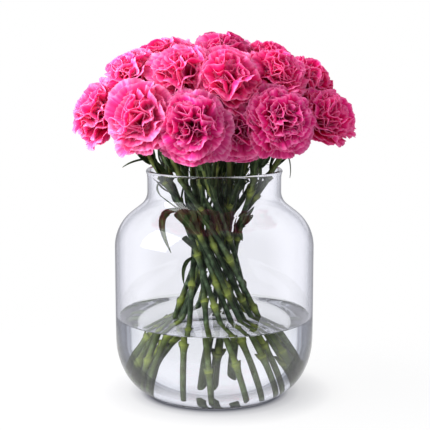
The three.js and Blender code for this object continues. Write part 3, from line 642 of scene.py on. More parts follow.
def add_node(tree, kind, settings=None, **inputs):
    """Adds one node. An input is a number, a colour's hex value, a socket or a node whose result it takes."""
    node = tree.nodes.new("ShaderNode" + kind)
    for name, value in (settings or {}).items():
        setattr(node, name, value)
    for name, value in inputs.items():
        socket = node.inputs[int(name[1:]) if name[0] == "_" else name.replace("_", " ")]
        if isinstance(value, bpy.types.Node):
            value = next(output for output in value.outputs if output.enabled)
        if isinstance(value, bpy.types.NodeSocket):
            tree.links.new(value, socket)
        else:
            socket.default_value = hex_colour(value) if isinstance(value, str) else value
    return node


def stops(node, *colours):
    """Sets a colour ramp's stops, as (place, hex value)."""
    ramp = node.color_ramp
    while len(ramp.elements) > 1:
        ramp.elements.remove(ramp.elements[-1])
    (place, code), *others = colours
    ramp.elements[0].position, ramp.elements[0].color = place, hex_colour(code)
    for place, code in others:
        ramp.elements.new(place).color = hex_colour(code)
    return node


def emptied(owner):
    """A material or a world without nodes, with the function that adds a node to it."""
    owner.use_nodes = True
    owner.node_tree.nodes.clear()
    return owner, partial(add_node, owner.node_tree)


def lets_lamps_through(add, body, shade):
    """Clear pieces cast only a faint shadow, so that what stands behind them is lit."""
    clear = add("BsdfTransparent", Color=shade)
    shadow = add("LightPath").outputs["Is Shadow Ray"]
    both = add("MixShader", _0=shadow, _1=body, _2=clear)
    add("OutputMaterial", Surface=both)


def glows_through(add, body, colour, share):
    """Part of the light that falls on a thin leaf or petal glows out of its other side."""
    glow = add("BsdfTranslucent", Color=colour)
    both = add("MixShader", _0=share, _1=body, _2=glow)
    add("OutputMaterial", Surface=both)


def edge_on_painted_shade(add, *colours):
    """Painted shade: a colour that deepens where light enters a wall at a slant, standing for the dark edges
    that the room would draw in it, and leaves it clear on the way out.
    """
    slant = add("LayerWeight", Blend=0.5).outputs["Facing"]
    ramp = stops(add("ValToRGB", Fac=slant), *colours)
    leaving = add("NewGeometry").outputs["Backfacing"]
    return add("Mix", MIXED, _0=leaving, _6=ramp, _7=CLEAR)


def clear_glass():
    """Soda-lime glass, blown into a mould: quite clear, with painted shade, a cool grey, where it is seen
    edge on.
    """
    material, add = emptied(bpy.data.materials.new("blown soda-lime glass"))
    # painted shade: the glass darkens to a cool grey, near black at the very edge, where it is seen edge on
    painted_edge_shade = edge_on_painted_shade(
        add, (0.4, "fcfcff"), (0.62, "f4f4f8"), (0.74, "d8d9e0"), (0.86, "80828b"), (0.94, "34363e"))
    body = add("BsdfPrincipled", Base_Color=painted_edge_shade, Roughness=0.0, IOR=1.5, Transmission_Weight=1.0)
    lets_lamps_through(add, body, "e9e9ed")
    return material


def clear_water():
    """Fresh water: it bends what stands in it and mirrors the room on its level top, and on its upright sides
    dark bands are painted in as shade, standing for those that a round jar of water draws from the sides of a
    room."""
    material, add = emptied(bpy.data.materials.new("fresh water"))
    # painted shade: dark bands on the water's upright sides, left clear on its level top
    painted_edge_shade = edge_on_painted_shade(
        add, (0.13, CLEAR), (0.185, "d0d4da"), (0.194, "5c606a"), (0.206, "7c808a"), (0.215, "2e323a"),
        (0.232, "424650"), (0.242, "22262e"), (0.276, "1e2128"), (0.29, "f4f6f8"))
    level = add("NewGeometry").outputs["Normal"]
    level = add("SeparateXYZ", Vector=level).outputs["Z"]
    level = add("Math", {"operation": "ABSOLUTE"}, _0=level)
    level = add("MapRange", EASED, _0=level, _1=0.4, _2=0.9)
    painted_edge_shade = add("Mix", MIXED, _0=level, _6=painted_edge_shade, _7=CLEAR)
    body = add("BsdfPrincipled", Base_Color=painted_edge_shade, Roughness=0.0, IOR=1.333, Transmission_Weight=1.0)
    lets_lamps_through(add, body, "f2f4f4")
    return material


def stem_skin():
    """A carnation's waxy stem: grey-green with a pale bloom, yellower joints, fine ribs along it, painted
    light laid on by height with the joints' green, and painted shade on the sides that turn away.
    """
    material, add = emptied(bpy.data.materials.new("waxy carnation stem"))
    place = add("TexCoord").outputs
    cloud = add("TexNoise", Vector=place["Object"], Scale=1 / (WAX_PATCH * MM), Detail=3.0)
    colour = stops(add("ValToRGB", Fac=cloud), (0.3, "182216"), (0.52, "30402a"), (0.74, "647858"))
    # the joints' own yellower green, with the painted light that is laid on by height in the same mark
    joint = add("Attribute", {"attribute_name": "joint"}).outputs["Fac"]
    colour = add("Mix", MIXED, _0=joint, _6=colour, _7="98a64c")
    # painted shade: the stem darkens towards its sides, where they turn away from the eye
    turned_away = add("LayerWeight", Blend=0.5).outputs["Facing"]
    painted_side_shade = stops(add("ValToRGB", Fac=turned_away), (0.2, "ffffff"), (0.75, "54564c"))
    colour = add("Mix", MULTIPLIED, _0=1.0, _6=colour, _7=painted_side_shade)
    ribs = add("Mapping", Vector=place["UV"], Scale=(STEM_RIBS, 3.0, 1.0))
    ribs = add("TexNoise", Vector=ribs, Scale=1.0, Detail=2.0)
    bump = add("Bump", Strength=0.25, Distance=0.4 * MM, Height=ribs)
    body = add("BsdfPrincipled", Base_Color=colour, Roughness=0.4, Specular_IOR_Level=0.2, Normal=bump)
    add("OutputMaterial", Surface=body)
    return material


def leaf_skin():
    """A carnation's narrow leaf: thick, grey-green and matt, with a paler midrib and fine lines along it."""
    material, add = emptied(bpy.data.materials.new("waxy carnation leaf"))
    place = add("TexCoord").outputs
    across = add("SeparateXYZ", Vector=place["UV"]).outputs["X"]
    from_rib = add("Math", {"operation": "SUBTRACT"}, _0=across, _1=0.5)
    from_rib = add("Math", {"operation": "ABSOLUTE"}, _0=from_rib)
    colour = stops(add("ValToRGB", Fac=from_rib), (0.0, "8a9c6c"), (0.07, "566b3e"), (0.5, "3e5230"))
    cloud = add("TexNoise", Vector=place["Object"], Scale=1 / (LEAF_PATCH * MM), Detail=2.0)
    tone = stops(add("ValToRGB", Fac=cloud), (0.35, "848c80"), (0.7, "ffffff"))
    colour = add("Mix", MULTIPLIED, _0=1.0, _6=colour, _7=tone)
    lines = add("Mapping", Vector=place["UV"], Scale=(LEAF_LINES, 1.0, 1.0))
    lines = add("TexNoise", Vector=lines, Scale=1.0)
    bump = add("Bump", Strength=0.2, Distance=0.4 * MM, Height=lines)
    body = add("BsdfPrincipled", Base_Color=colour, Roughness=0.5, Specular_IOR_Level=0.25, Normal=bump)
    glows_through(add, body, colour, 0.25)
    return material


def petal_skin():
    """A carnation's petal: velvety hot pink that deepens towards its root, with ray-like pleats whose grooves
    carry painted shade, a slightly paler toothed edge that is partly painted highlight, painted light on the
    heads to the left and painted shade on some others, and light that glows through where petals overlap."""
    material, add = emptied(bpy.data.materials.new("carnation petal"))
    uv = add("TexCoord").outputs["UV"]
    from_root = add("SeparateXYZ", Vector=uv).outputs["Y"]
    rays = add("Mapping", Vector=uv, Scale=(PETAL_RAYS, 0.9, 1.0))
    rays = add("TexNoise", Vector=rays, Scale=1.0, Detail=2.0)
    along = add("Math", {"operation": "MULTIPLY_ADD"}, _0=rays, _1=0.3, _2=-0.15)
    along = add("Math", {"operation": "ADD"}, _0=from_root, _1=along)
    deep = stops(
        add("ValToRGB", Fac=along), (0.2, "f20258"), (0.45, "f60476"), (0.7, "f80e8e"), (0.92, "fa3ea6"),
        (1.0, "fc88c6"))
    light = stops(
        add("ValToRGB", Fac=along), (0.2, "f20864"), (0.55, "f6369e"), (0.9, "fa76bc"), (1.0, "fcaad6"))
    # the petals' own paleness by layer, with painted light that makes the heads further left paler
    pale = add("Attribute", {"attribute_name": "paleness"}).outputs["Fac"]
    colour = add("Mix", MIXED, _0=pale, _6=deep, _7=light)
    # partly fine streaks of the petal's own colour, partly painted shade in the pleats' grooves
    streaks_and_pleat_shade = stops(add("ValToRGB", Fac=rays), (0.3, "e8c6d8"), (0.6, "ffffff"))
    colour = add("Mix", MULTIPLIED, _0=0.8, _6=colour, _7=streaks_and_pleat_shade)
    # the paler edge is partly the petal's own colour and partly painted highlight
    rim = add("MapRange", EASED, _0=from_root, _1=0.93, _2=1.0, _3=0.0, _4=0.2)
    colour = add("Mix", MIXED, _0=rim, _6=colour, _7="f8a2ca")
    # painted shade: some whole heads are darkened by their tone
    tone = add("Attribute", {"attribute_name": "tone"}).outputs["Fac"]
    colour = add("Mix", MULTIPLIED, _0=1.0, _6=colour, _7=tone)
    bump = add("Bump", Strength=0.5, Distance=1 * MM, Height=rays)
    body = add(
        "BsdfPrincipled", Base_Color=colour, Roughness=0.6, IOR=1.4, Specular_IOR_Level=0.05, Normal=bump)
    glows_through(add, body, colour, 0.52)
    return material


GLASS = clear_glass()
WATER = clear_water()
STEM = stem_skin()
LEAF = leaf_skin()
PETAL = petal_skin()


def finish_piece(piece, material, slot, *nodes):
    """Gives a piece its material, and lets it stand for its solids."""
    if material:
        piece.data.materials.clear()
        piece.data.materials.append(material)
    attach(piece, "root")
    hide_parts(*nodes)


# ---------- Vase and water ----------

ROUND_STEPS = 176
SMOOTH = 5  # how much finer the wall's curves are than the solid's
# the underside: a slight hollow, the ring that the vase rests on, and its rounded outer edge
UNDERSIDE = [
    (0, 2.6), (22, 2.5), (32, 2.1), (37, 1.4), (40, 0.5), (42, 0.1), (44, 0), (62.4, 0), (63.6, 0.2),
    (64.3, 0.8), (64.8, 1.9)]
UNDERSIDE_TOP = 2.4
LIP_START = (0.3, 5.2)  # where the lip begins to widen: out from the neck, and down from the rim
WETTED = 0.15  # how far the water reaches into the glass, so that no air shows between them
CLIMB_HEIGHT, CLIMB_REACH = 1.6, 1.5
CLIMB_STEPS = (0, 0.5, 1.1, 1.9, 3, 4.5, 7)


def vase():
    lip_outer, lip_inner = NECK_RADIUS + LIP_FLARE, NECK_RADIUS - WALL
    bead = (lip_outer - lip_inner) / 2
    bead_at = ((lip_outer + lip_inner) / 2, VASE_HEIGHT - bead)
    lip_foot = VASE_HEIGHT - 2 * LIP_HEIGHT
    profile = UNDERSIDE + [spot for spot in wall_outline(0, 0, SMOOTH) if spot[1] > UNDERSIDE_TOP]
    profile += [
        (NECK_RADIUS, lip_foot), (NECK_RADIUS + LIP_START[0], VASE_HEIGHT - LIP_START[1]),
        (lip_outer, bead_at[1]), *arc(bead_at, bead, bead, 0, math.pi, 10), (lip_inner, lip_foot),
        *wall_outline(WALL, FLOOR, SMOOTH)[::-1], (0, FLOOR)]
    piece = spun("vase_glass", profile, ROUND_STEPS)
    smooth(piece, 40)
    finish_piece(piece, GLASS, "glass", "vase")


def water():
    """The water wets the glass all round, and its top climbs a little where it meets the wall."""
    inset, bottom = WALL - WETTED, FLOOR - WETTED
    outline = [spot for spot in wall_outline(inset, bottom, SMOOTH) if spot[1] < WATER_LEVEL - 1]
    edge = BODY_RADIUS - inset
    climb = [(edge - run, WATER_LEVEL + CLIMB_HEIGHT * math.exp(-run / CLIMB_REACH)) for run in CLIMB_STEPS]
    piece = spun("water_body", [(0, bottom), *outline, *climb, (0, WATER_LEVEL)], ROUND_STEPS)
    smooth(piece, 50)
    finish_piece(piece, WATER, "water", "water")


# ---------- Stems with their joints, sheaths, leaves and calyx ----------

AROUND = 12
RING_SPACING = 8.0
JOINT_RINGS = (-6, -3.6, -2, -0.8, 0.6, 2, 3.6, 6)
CALYX_RINGS = (-2, 0, 2, 4.5, 8, 14, 21, 27, CALYX_LENGTH)
CALYX_BULGE = ((0, 0), (2, 0.6), (4.5, 1.7), (8, 2.8), (14, 3.75), (21, 3.9), (30, 3.6))
JOINT_SWELL, JOINT_REACH = 0.8, 4.2
CUT_SLANT = 2.2
# painted light: how much of the joints' paler green is laid on the stems by height, a little under water and
# more above the rim
PAINTED_LIGHT_BY_HEIGHT = ((WATER_LEVEL, 0.16), (WATER_LEVEL + 2, 0), (200, 0), (225, 0.3), (245, 0.5))
SHEATH_THICKNESS = 0.5
CALYX_TEETH = 5
LEAF_BREADTH = ((0, 0.45), (0.15, 0.8), (0.35, 1), (0.6, 0.9), (0.85, 0.5), (1, 0.05))
LEAFY = (140, 250)  # the joints between these heights have kept a leaf
LEAFY_ZONES = ((160, 185), (185, 210), (205, 228), (215, 238))  # heights where torn leaves clasp the stems
RIM_ZONES = ((208, 222), (216, 230), (222, 236))  # and where the outer stems have broader ones


def stem_stations(route, joints, start):
    """Distances along a stem at which it gets a ring: close together at its joints and its calyx."""
    stations = {start, start + 0.8}
    for d in joints:
        stations |= {d + step for step in JOINT_RINGS}
    stations |= set(np.arange(start + 6, route.calyx_start - 3, RING_SPACING))
    stations |= {route.calyx_start + step for step in CALYX_RINGS}
    kept = []
    for d in sorted(s for s in stations if start <= s <= route.length):
        if not kept or d - kept[-1] > 0.5:
            kept.append(d)
    return np.array(kept)


def stem_radius(route, joints, d):
    """How thick a stem is along its length."""
    swell = sum(np.exp(-((d - at) / JOINT_REACH) ** 2) for at in joints)
    calyx = np.interp(d - route.calyx_start, *np.array(CALYX_BULGE).T)
    return STEM_RADIUS * 0.96 + JOINT_SWELL * swell + calyx


def stem_tube(i, start):
    route, joints = ROUTES[i], JOINTS[i]
    draw = seeded(i + 211)
    d_all = stem_stations(route, joints, start)
    rows = np.concatenate([[d_all[0]], d_all, [d_all[-1]]])
    reach = np.concatenate([[0], stem_radius(route, joints, d_all), [0]])
    piece = sheet("stem", AROUND, len(rows) - 1)
    u, v = sheet_places(piece)
    row = np.rint(v * (len(rows) - 1)).astype(int)
    turn = (u + 1) * math.pi
    lean = draw(0, 2 * math.pi)
    cut = np.where(row <= 2, 1, 0) * CUT_SLANT * (reach[row] / STEM_RADIUS) * (1 + np.cos(turn - lean)) / 2
    ribbed = reach[row] * (1 + 0.035 * np.cos(3 * turn + lean) + 0.02 * np.sin(rows[row] / 7 + lean))
    put(piece.data, route.beside(rows[row] + cut, ribbed, turn))
    ripe = sum(np.exp(-((rows[row] - at - 2) / 5.5) ** 2) * draw(0.2, 0.9) for at in joints)
    height = route.frame(rows[row])[0][:, 2]
    # the mark holds the joints' own yellower green and the painted light laid on by height
    mark(piece.data, "joint", np.clip(ripe + np.interp(height, *np.array(PAINTED_LIGHT_BY_HEIGHT).T), 0, 1))
    weld(piece)
    piece.data.materials.append(STEM)
    return piece


def collar(i, across, shape):
    """A thin green sleeve round a stem, whose shape gives how far along, how far out and how ripe it is."""
    piece = sheet("collar", across, 3)
    u, v = sheet_places(piece)
    turn = (u + 1) * math.pi
    along, radius, ripe = shape(turn, v)
    put(piece.data, ROUTES[i].beside(along, radius, turn))
    mark(piece.data, "joint", ripe)
    weld(piece)
    thicken(piece, SHEATH_THICKNESS)
    piece.data.materials.append(STEM)
    return piece


def sheath(i, d, draw):
    """The cupped, torn remains of a pair of leaves, just above a joint."""
    torn, depth = draw(0, 6), draw(1.5, 5)

    def shape(turn, v):
        lobe = 0.5 + 0.5 * np.cos(2 * turn + torn)
        return d + (2.5 + depth * lobe) * v, STEM_RADIUS + 0.9 + (0.35 + 0.9 * lobe) * v, 0.9 - 0.5 * v

    return collar(i, AROUND, shape)


def calyx_teeth(i):
    """The teeth at the calyx's mouth, which hold the petals."""
    def shape(turn, v):
        tooth = np.abs((turn * CALYX_TEETH / (2 * math.pi)) % 1 - 0.5) * 2
        along = ROUTES[i].length - 5 + (4 + 6.5 * tooth ** 1.5) * v
        return along, CALYX_RADIUS + 0.05 + 0.9 * v ** 2 * tooth, 0.4 - 0.2 * v

    return collar(i, 4 * CALYX_TEETH, shape)


def leaf(shape, draw):
    """One narrow leaf: folded along its midrib, widest below its middle, drawn out to a point."""
    piece = sheet("leaf", 4, 14)
    u, v = sheet_places(piece)
    at, along, wide, through = leaf_frame(shape, v)
    breadth = np.interp(v, *np.array(CUT_SHAPE if shape["cut"] else LEAF_BREADTH).T)
    half = breadth * shape["width"] / 2
    fold = np.abs(u) * half * 0.35
    wave = 0.5 * np.sin(v * draw(5, 9) + draw(0, 6)) * v
    put(piece.data, at + wide * (u * half)[:, None] - through * (fold + wave)[:, None])
    mark(piece.data, "joint", 0.0)
    thicken(piece, LEAF_THICKNESS * 0.8)
    piece.data.materials.append(LEAF)
    return piece


def clasping_leaf(i, d, draw):
    """Where a short leaf lies that grows close along its own stem."""
    route = ROUTES[i]
    at, along, side, out = (each[0] for each in route.frame(d))
    turn = draw(0, 2 * math.pi)
    outward = side * math.cos(turn) + out * math.sin(turn)
    length = draw(16, 34)
    top = route.frame(min(d + length, route.calyx_start + 8))[0][0]
    return dict(
        root=at + outward * 2.6, via=(at + top) / 2 + outward * 6.4, tip=top + outward * draw(4.5, 8),
        outward=outward, width=draw(4, 6.5), cut=draw() > 0.7)


def stem(i):
    route, joints = ROUTES[i], JOINTS[i]
    draw = seeded(i + 301)
    parts = [stem_tube(i, foot_start(route))]
    parts += [sheath(i, d, draw) for d in joints]
    parts.append(calyx_teeth(i))
    parts += [leaf(shape, draw) for shape in LEAVES if shape["stem"] == i]

    def in_zone(heights):
        return draw(*route.distance[np.searchsorted(route.points[:, 2], heights)])

    leafy = [d + 1 for d in joints if LEAFY[0] < route.frame(d)[0][0][2] < LEAFY[1]] + [route.calyx_start - 4]
    leafy += [in_zone(zone) for zone in LEAFY_ZONES]
    parts += [leaf(clasping_leaf(i, d, draw), draw) for d in leafy]
    if HEADS[i][4] == LOWER:
        for zone in RIM_ZONES:
            broad = clasping_leaf(i, in_zone(zone), draw) | dict(width=draw(7, 9), cut=False)
            parts.append(leaf(broad, draw))
    piece = joined("stem_%02d_green" % (i + 1), parts)
    smooth(piece, 45)
    finish_piece(piece, None, "stem", "stem_%02d" % (i + 1))


# ---------- Flower heads ----------

# Each layer of petals, from the broad outer ones to the crumpled middle: how many, where a petal's middle
# line passes and ends (out and up, as shares of the head's radius), half the fan's opening in degrees, how
# far the edge is waved in millimetres, how much the sides are cupped, and how pale the petals are.
PETAL_LAYERS = [
    (7, (0.50, -0.12), (1.04, -0.18), 38, 4.2, -1.0, 0.9),
    (7, (0.44, 0.10), (1.01, 0.02), 37, 5.6, -0.5, 0.6),
    (8, (0.34, 0.28), (0.92, 0.22), 36, 7.2, 0.5, 0.4),
    (8, (0.24, 0.42), (0.78, 0.40), 35, 8.0, 1.0, 0.25),
    (8, (0.14, 0.50), (0.58, 0.56), 35, 8.5, 1.0, 0.1),
    (7, (0.08, 0.46), (0.36, 0.66), 35, 8.5, 1.5, 0.05),
    (5, (0.05, 0.30), (0.14, 0.68), 35, 8.0, 2.0, 0.0),
    (4, (0.06, 0.10), (-0.06, 0.62), 34, 6.0, 2.0, 0.0),
]
PETAL_ROOT = (0.05, -0.47)
PETAL_ACROSS = 28
PETAL_ALONG = 10
PETAL_THICKNESS = 0.35
ENVELOPE = 1.12
HEAD_SPACE = -9  # neighbours' petals slide past each other
STALK_SPACE = 0.4
DEEP_BITE, SHALLOW_BITE = (0.5, 1.4), (0, 0.4)
FULL_HEADS = (2, 4)  # the two front flowers: flat, tightly filled and of a deeper pink
PAINTED_SHADE_TONES = {2: 0.89, 3: 0.9, 4: 0.9, 5: 0.96, 6: 0.96, 14: 0.97, 17: 0.88}  # painted shade: heads darkened where they would take more light than the rest, the top one most
DOME_MIDDLE = np.array((-1.0, 0.0, 262.0))
DOME_SIZE = np.array((136.0, 130.0, 88.0))
DOME_UNDERSIDE = 234
DOME_START, DOME_SOFT = 0.9, 0.15  # where the dome starts to hold petals back, and how far past that they get
UNDERSIDE_SOFT = 14


def crowding(i):
    """What a head must stay clear of: directions from its middle, and how far it may reach in each."""
    directions, reaches = [], []
    for j in STEMS:
        if j == i:
            continue
        to = MIDDLE[j] - MIDDLE[i]
        length = np.linalg.norm(to)
        directions.append(to / length)
        reaches.append(length * HEAD_RADIUS[i] / (HEAD_RADIUS[i] + HEAD_RADIUS[j]) - HEAD_SPACE)
        route = ROUTES[j]
        d = np.arange(route.length, route.length - 150, -5)
        spots = route.frame(d)[0] - MIDDLE[i]
        length = lengths(spots)
        directions += list(spots / length[:, None])
        reaches += list(length - np.where(d > route.calyx_start, CALYX_RADIUS, KNUCKLE_RADIUS) - STALK_SPACE)
    directions, reaches = np.array(directions), np.array(reaches)
    near = reaches < HEAD_RADIUS[i] * ENVELOPE
    return directions[near], reaches[near]


def squeezed(points, limits, envelope):
    """Draws points in towards the head's middle where its neighbours leave less room."""
    directions, reaches = limits
    if not len(reaches):
        return points
    facing = unit(points) @ directions.T
    room = np.where(facing > 0, reaches[None] / np.maximum(facing, 1e-6), np.inf).min(axis=1)
    return points * (np.minimum(room, envelope) / envelope)[:, None]


def head_axes(i):
    side = unit(np.cross(UP, FACING[i]))
    return np.stack([side, np.cross(FACING[i], side), FACING[i]])


def bent_petal(u, v, layer, radius, turn, loose, draw):
    """A petal's points in its head's own frame: a toothed fan, bent along its middle line and frilled."""
    _, passed, end, opening, ruffle, cup, _ = layer
    scale = radius * draw(0.86, 1.02 + 0.08 * loose) * (1 + 0.04 * math.sin(2 * turn + radius))
    lift = draw(-1, 1) * (0.1 + 0.12 * loose) + 0.1 * loose * end[0]
    root, via, tip = (np.array(p) * scale for p in (PETAL_ROOT, passed, (end[0], end[1] + lift)))
    t = np.linspace(0, 1, 41)[:, None]
    line = (1 - t) ** 2 * root + 2 * t * (1 - t) * via + t * t * tip
    travel = np.concatenate([[0], np.cumsum(lengths(np.diff(line, axis=0)))])
    length = travel[-1]
    fan = u * math.radians(opening) * draw(0.9, 1.1)
    steps = np.rint((u + 1) / 2 * PETAL_ACROSS).astype(int)
    bites = np.array([draw(*(DEEP_BITE if k % 2 else SHALLOW_BITE)) for k in range(PETAL_ACROSS + 1)])
    waves = np.array([draw(-1, 1) for _ in range(4)])
    edge = length * (1 - 0.26 * np.abs(u) ** 3) + 1.5 * waves[0] * np.sin(3 * u + waves[1] * 3)
    near_edge = np.clip((v - 0.74) / 0.26, 0, 1)
    reach = v * edge - bites[steps] * near_edge ** 2
    opened = 0.3 + 0.7 * np.clip((v - 0.05) / 0.5, 0, 1) ** 0.8
    across, along = reach * np.sin(fan) * opened, reach * np.cos(fan)
    phase = [draw(0, 2 * math.pi) for _ in range(4)]
    tight = 1 + 0.4 * (1 - loose) * (1 - end[0])
    slow, quick = tight * draw(0.9, 1.7), tight * draw(2.2, 3.4)
    pleats = draw(5.0, 6.5)
    frill = 0.7 * np.sin(math.pi * slow * u + phase[0]) + 0.45 * np.sin(math.pi * quick * u + phase[1])
    off = ruffle * (0.65 + 0.4 * loose) * draw(0.75, 1.15) * v ** 1.7 * frill * (1 - 0.55 * u ** 4)
    off += 0.6 * v ** 1.2 * np.sin(math.pi * pleats * u + phase[2])
    off += cup * u ** 2 * v + 0.8 * np.sin(6 * v + phase[3]) * v * u - 1.6 * near_edge ** 2 * waves[2]
    along_clipped = np.clip(along, 0, length)
    way = unit(followed(along_clipped, travel, unit(np.gradient(line, travel, axis=0))))
    at = followed(along_clipped, travel, line) + way * (along - along_clipped)[:, None]
    normal = np.stack([-way[:, 1], way[:, 0]], axis=1)
    out, up = at[:, 0] + normal[:, 0] * off, at[:, 1] + normal[:, 1] * off
    c, s = math.cos(turn), math.sin(turn)
    return np.stack([out * c - across * s, out * s + across * c, up], axis=1)


def crumpled(points, shift):
    """Pushes a whole head's petals this way and that together, so that their rings aren't round."""
    x, y, z = points.T / 9
    sway = np.stack([
        np.sin(y + shift[0]) + np.sin(1.7 * z + shift[1]),
        np.sin(1.2 * z + shift[2]) + np.sin(1.6 * x + shift[3]),
        np.sin(1.3 * x + shift[4]) + np.sin(1.1 * y + shift[5])], axis=1)
    away = np.clip(lengths(points) / 14, 0, 1)
    return points + sway * away[:, None]


def kept_in_dome(points, middle):
    """The heads are bound so that together they make one dome, level underneath."""
    def height(spots):
        return lengths((spots - DOME_MIDDLE) / DOME_SIZE)

    over = height(points)
    own = min(height(middle), 0.85)
    allowed = DOME_START + DOME_SOFT * np.tanh((over - DOME_START) / DOME_SOFT)
    share = np.where((over > DOME_START) & (points[:, 2] > DOME_MIDDLE[2]), (allowed - own) / (over - own), 1)
    points = middle + (points - middle) * share[:, None]
    low = DOME_UNDERSIDE + UNDERSIDE_SOFT - points[:, 2]
    points[:, 2] += np.where(low > 0, low - UNDERSIDE_SOFT * np.tanh(low / UNDERSIDE_SOFT), 0)
    return points


def bloom(i, flat, u, v):
    draw = seeded(i + 401)
    radius = HEAD_RADIUS[i]
    axes = head_axes(i)
    directions, reaches = crowding(i)
    limits = (directions @ axes.T, reaches)
    shift = np.array([draw(0, 2 * math.pi) for _ in range(6)])
    lean = np.array((draw(-4, 4), draw(-4, 4), 0))
    # painted light: heads further to the left are paler, as the light falls from the left; the two front
    # heads are of a deeper pink
    pale = np.clip(0.22 - MIDDLE[i][0] / 260, -0.15, 0.6) - (0.4 if i in FULL_HEADS else 0)
    loose = 0.35 if i in FULL_HEADS else draw(0.5, 0.85)
    petals = []
    for layer in PETAL_LAYERS:
        start = draw(0, 2 * math.pi)
        for k in range(layer[0]):
            turn = start + (k + draw(-0.45, 0.45)) * 2 * math.pi / layer[0]
            points = bent_petal(u, v, layer, radius, turn, loose, draw) + lean * (1 - layer[2][0])
            points = squeezed(crumpled(points, shift), limits, ENVELOPE * radius)
            petal = copied(flat, "petal")
            put(petal.data, kept_in_dome(MIDDLE[i] + points @ axes, MIDDLE[i]))
            mark(petal.data, "paleness", np.clip(layer[6] + pale + draw(-0.15, 0.15), 0, 1))
            mark(petal.data, "tone", PAINTED_SHADE_TONES.get(i, 1.0))
            petals.append(petal)
    piece = joined("bloom_%02d_petals" % (i + 1), petals)
    thicken(piece, PETAL_THICKNESS)
    smooth(piece, 60)
    finish_piece(piece, PETAL, "petal", "bloom_%02d" % (i + 1))


# ---------- Making them ----------

vase()
water()
for i in STEMS:
    stem(i)
flat_petal = sheet("flat_petal", PETAL_ACROSS, PETAL_ALONG)
flat_u, flat_v = sheet_places(flat_petal)
for i in STEMS:
    bloom(i, flat_petal, flat_u, flat_v)
bpy.data.objects.remove(flat_petal)

# ---------- Floor, light and air ----------

# painted shadow on the floor at distances from the vase's axis in millimetres: darkest where the glass
# touches it
PAINTED_CONTACT_SHADOW = (
    (45, "f4f4f6"), (58.75, "e6e6ea"), (62.5, "8c8e96"), (65, "54565e"), (67.5, "8c8d94"), (73.75, "d2d2d5"),
    (85, "ececed"), (116.25, "ffffff"))
SHADE_REACH = 125
CARD_RADIUS = 0.36


def matt_floor():
    """Matt card under the vase, partly lit by the studio light and partly glowing, so that it shows white,
    with a painted contact shadow round the vase's foot, and which fades out at its rim. Seen through the
    glass and the water it glows as light as the room, with the same painted shadow."""
    material, add = emptied(bpy.data.materials.new("matt white card"))
    place = add("TexCoord").outputs["Object"]
    reach = add("VectorMath", {"operation": "LENGTH"}, _0=place).outputs["Value"]
    under = add("Math", {"operation": "MULTIPLY"}, _0=reach, _1=1 / (SHADE_REACH * MM))
    # painted shadow on the card round the vase's foot, darkest in a thin ring where the glass touches it
    shade = stops(
        add("ValToRGB", Fac=under), *((distance / SHADE_REACH, code) for distance, code in PAINTED_CONTACT_SHADOW))
    card = add("Mix", MULTIPLIED, _0=1.0, _6="bcbcbd", _7=shade)
    card = add("BsdfDiffuse", Color=card)
    # the card partly glows, with the same painted shadow
    card_glow = add("Emission", Color=shade, Strength=1.0)
    far = add("MapRange", EASED, _0=reach, _1=0.07, _2=0.14, _3=0.7, _4=0.94)
    card = add("MixShader", _0=far, _1=card, _2=card_glow)
    through = add("LightPath").outputs["Is Transmission Ray"]
    card = add("MixShader", _0=through, _1=card, _2=card_glow)
    gone = add("BsdfTransparent")
    fade = add("MapRange", EASED, _0=reach, _1=0.2, _2=CARD_RADIUS)
    card = add("MixShader", _0=fade, _1=card, _2=gone)
    add("OutputMaterial", Surface=card)
    return material


bpy.ops.object.select_all(action="DESELECT")
bpy.ops.mesh.primitive_circle_add(vertices=96, radius=CARD_RADIUS, fill_type="NGON", location=(0, 0, 0))
floor = bpy.context.object
floor.name = "floor"
floor.data.materials.append(matt_floor())


def soft_box(name, at, aim, size, power, mirrored=False):
    at, aim = Vector(at), Vector(aim)
    bpy.ops.object.light_add(type="AREA", location=at)
    lamp = bpy.context.object
    lamp.name = name
    lamp.rotation_euler = (aim - at).to_track_quat("-Z", "Y").to_euler()
    lamp.data.shape = "RECTANGLE"
    lamp.data.size, lamp.data.size_y = size
    lamp.data.energy = power
    lamp.visible_glossy = mirrored
    lamp.visible_transmission = False


soft_box("key", (-1.5, -0.3, 0.75), (-0.03, 0, 0.26), (2.2, 2.2), 116)
soft_box("window", (-1.45, -0.42, 1.05), (0, 0, 0.24), (1.2, 1.3), 24, mirrored=True)
soft_box("rim", (-1.1, 0.75, 0.75), (-0.05, 0, 0.27), (0.7, 0.8), 10)

WINDOW_WAY = Vector((-0.7, -0.5, 0.52)).normalized()


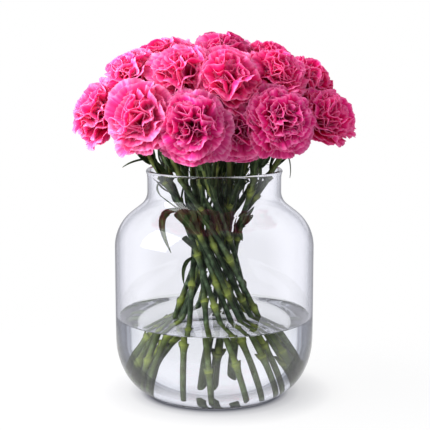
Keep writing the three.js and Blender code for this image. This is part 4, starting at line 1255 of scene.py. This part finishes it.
def mirrored_room(add):
    """How bright the room is where glass or water mirrors it: dim in front, so that no veil hides the stems,
    with a window on the left, and bright behind, but for the table's far edge."""
    way = add("TexCoord").outputs["Generated"]
    window = add("VectorMath", {"operation": "DOT_PRODUCT"}, _0=way, _1=WINDOW_WAY)
    window = add("MapRange", EASED, _0=window, _1=0.86, _2=0.98, _3=0.05, _4=0.6)
    way = add("SeparateXYZ", Vector=way).outputs
    behind = add("MapRange", EASED, _0=way["Y"], _1=-0.5, _2=0.15, _3=0.0, _4=0.95)
    edge = add("MapRange", EASED, _0=way["Y"], _1=0.7, _2=0.96, _3=1.0, _4=0.5)
    upper = add("MapRange", _0=way["Z"], _1=-0.02, _2=0.02)
    edge = add("Mix", {"data_type": "FLOAT"}, _0=upper, _2=edge, _3=1.0)
    behind = add("Math", {"operation": "MULTIPLY"}, _0=behind, _1=edge)
    return add("Math", {"operation": "ADD"}, _0=behind, _1=window)


def white_room():
    """White all round to the eye and through the glass, and a little less in the light that it gives."""
    bpy.context.scene.world, add = emptied(bpy.data.worlds.new("white room"))
    ray = add("LightPath").outputs
    room = add("Background", Color="f8f8fc", Strength=1.07)
    fill = add("Background", Color="f4f4fc", Strength=0.94)
    dim = add("Background", Color="f4f4fc", Strength=mirrored_room(add))
    seen = add("Background", Color="ffffff", Strength=1.0)
    mirrored = add("Math", {"operation": "GREATER_THAN"}, _0=ray["Glossy Depth"], _1=0.5)
    through = add("MixShader", _0=mirrored, _1=room, _2=dim)
    light = add("MixShader", _0=ray["Is Diffuse Ray"], _1=room, _2=fill)
    light = add("MixShader", _0=ray["Is Glossy Ray"], _1=light, _2=dim)
    light = add("MixShader", _0=ray["Is Transmission Ray"], _1=light, _2=through)
    light = add("MixShader", _0=ray["Is Camera Ray"], _1=light, _2=seen)
    add("OutputWorld", Surface=light)


white_room()
view = bpy.context.scene.view_settings
view.view_transform = "Standard"
view.look = "None"
cycles = bpy.context.scene.cycles
cycles.max_bounces = 24
cycles.transmission_bounces = 20
cycles.transparent_max_bounces = 16
cycles.diffuse_bounces = 8
cycles.glossy_bounces = 6
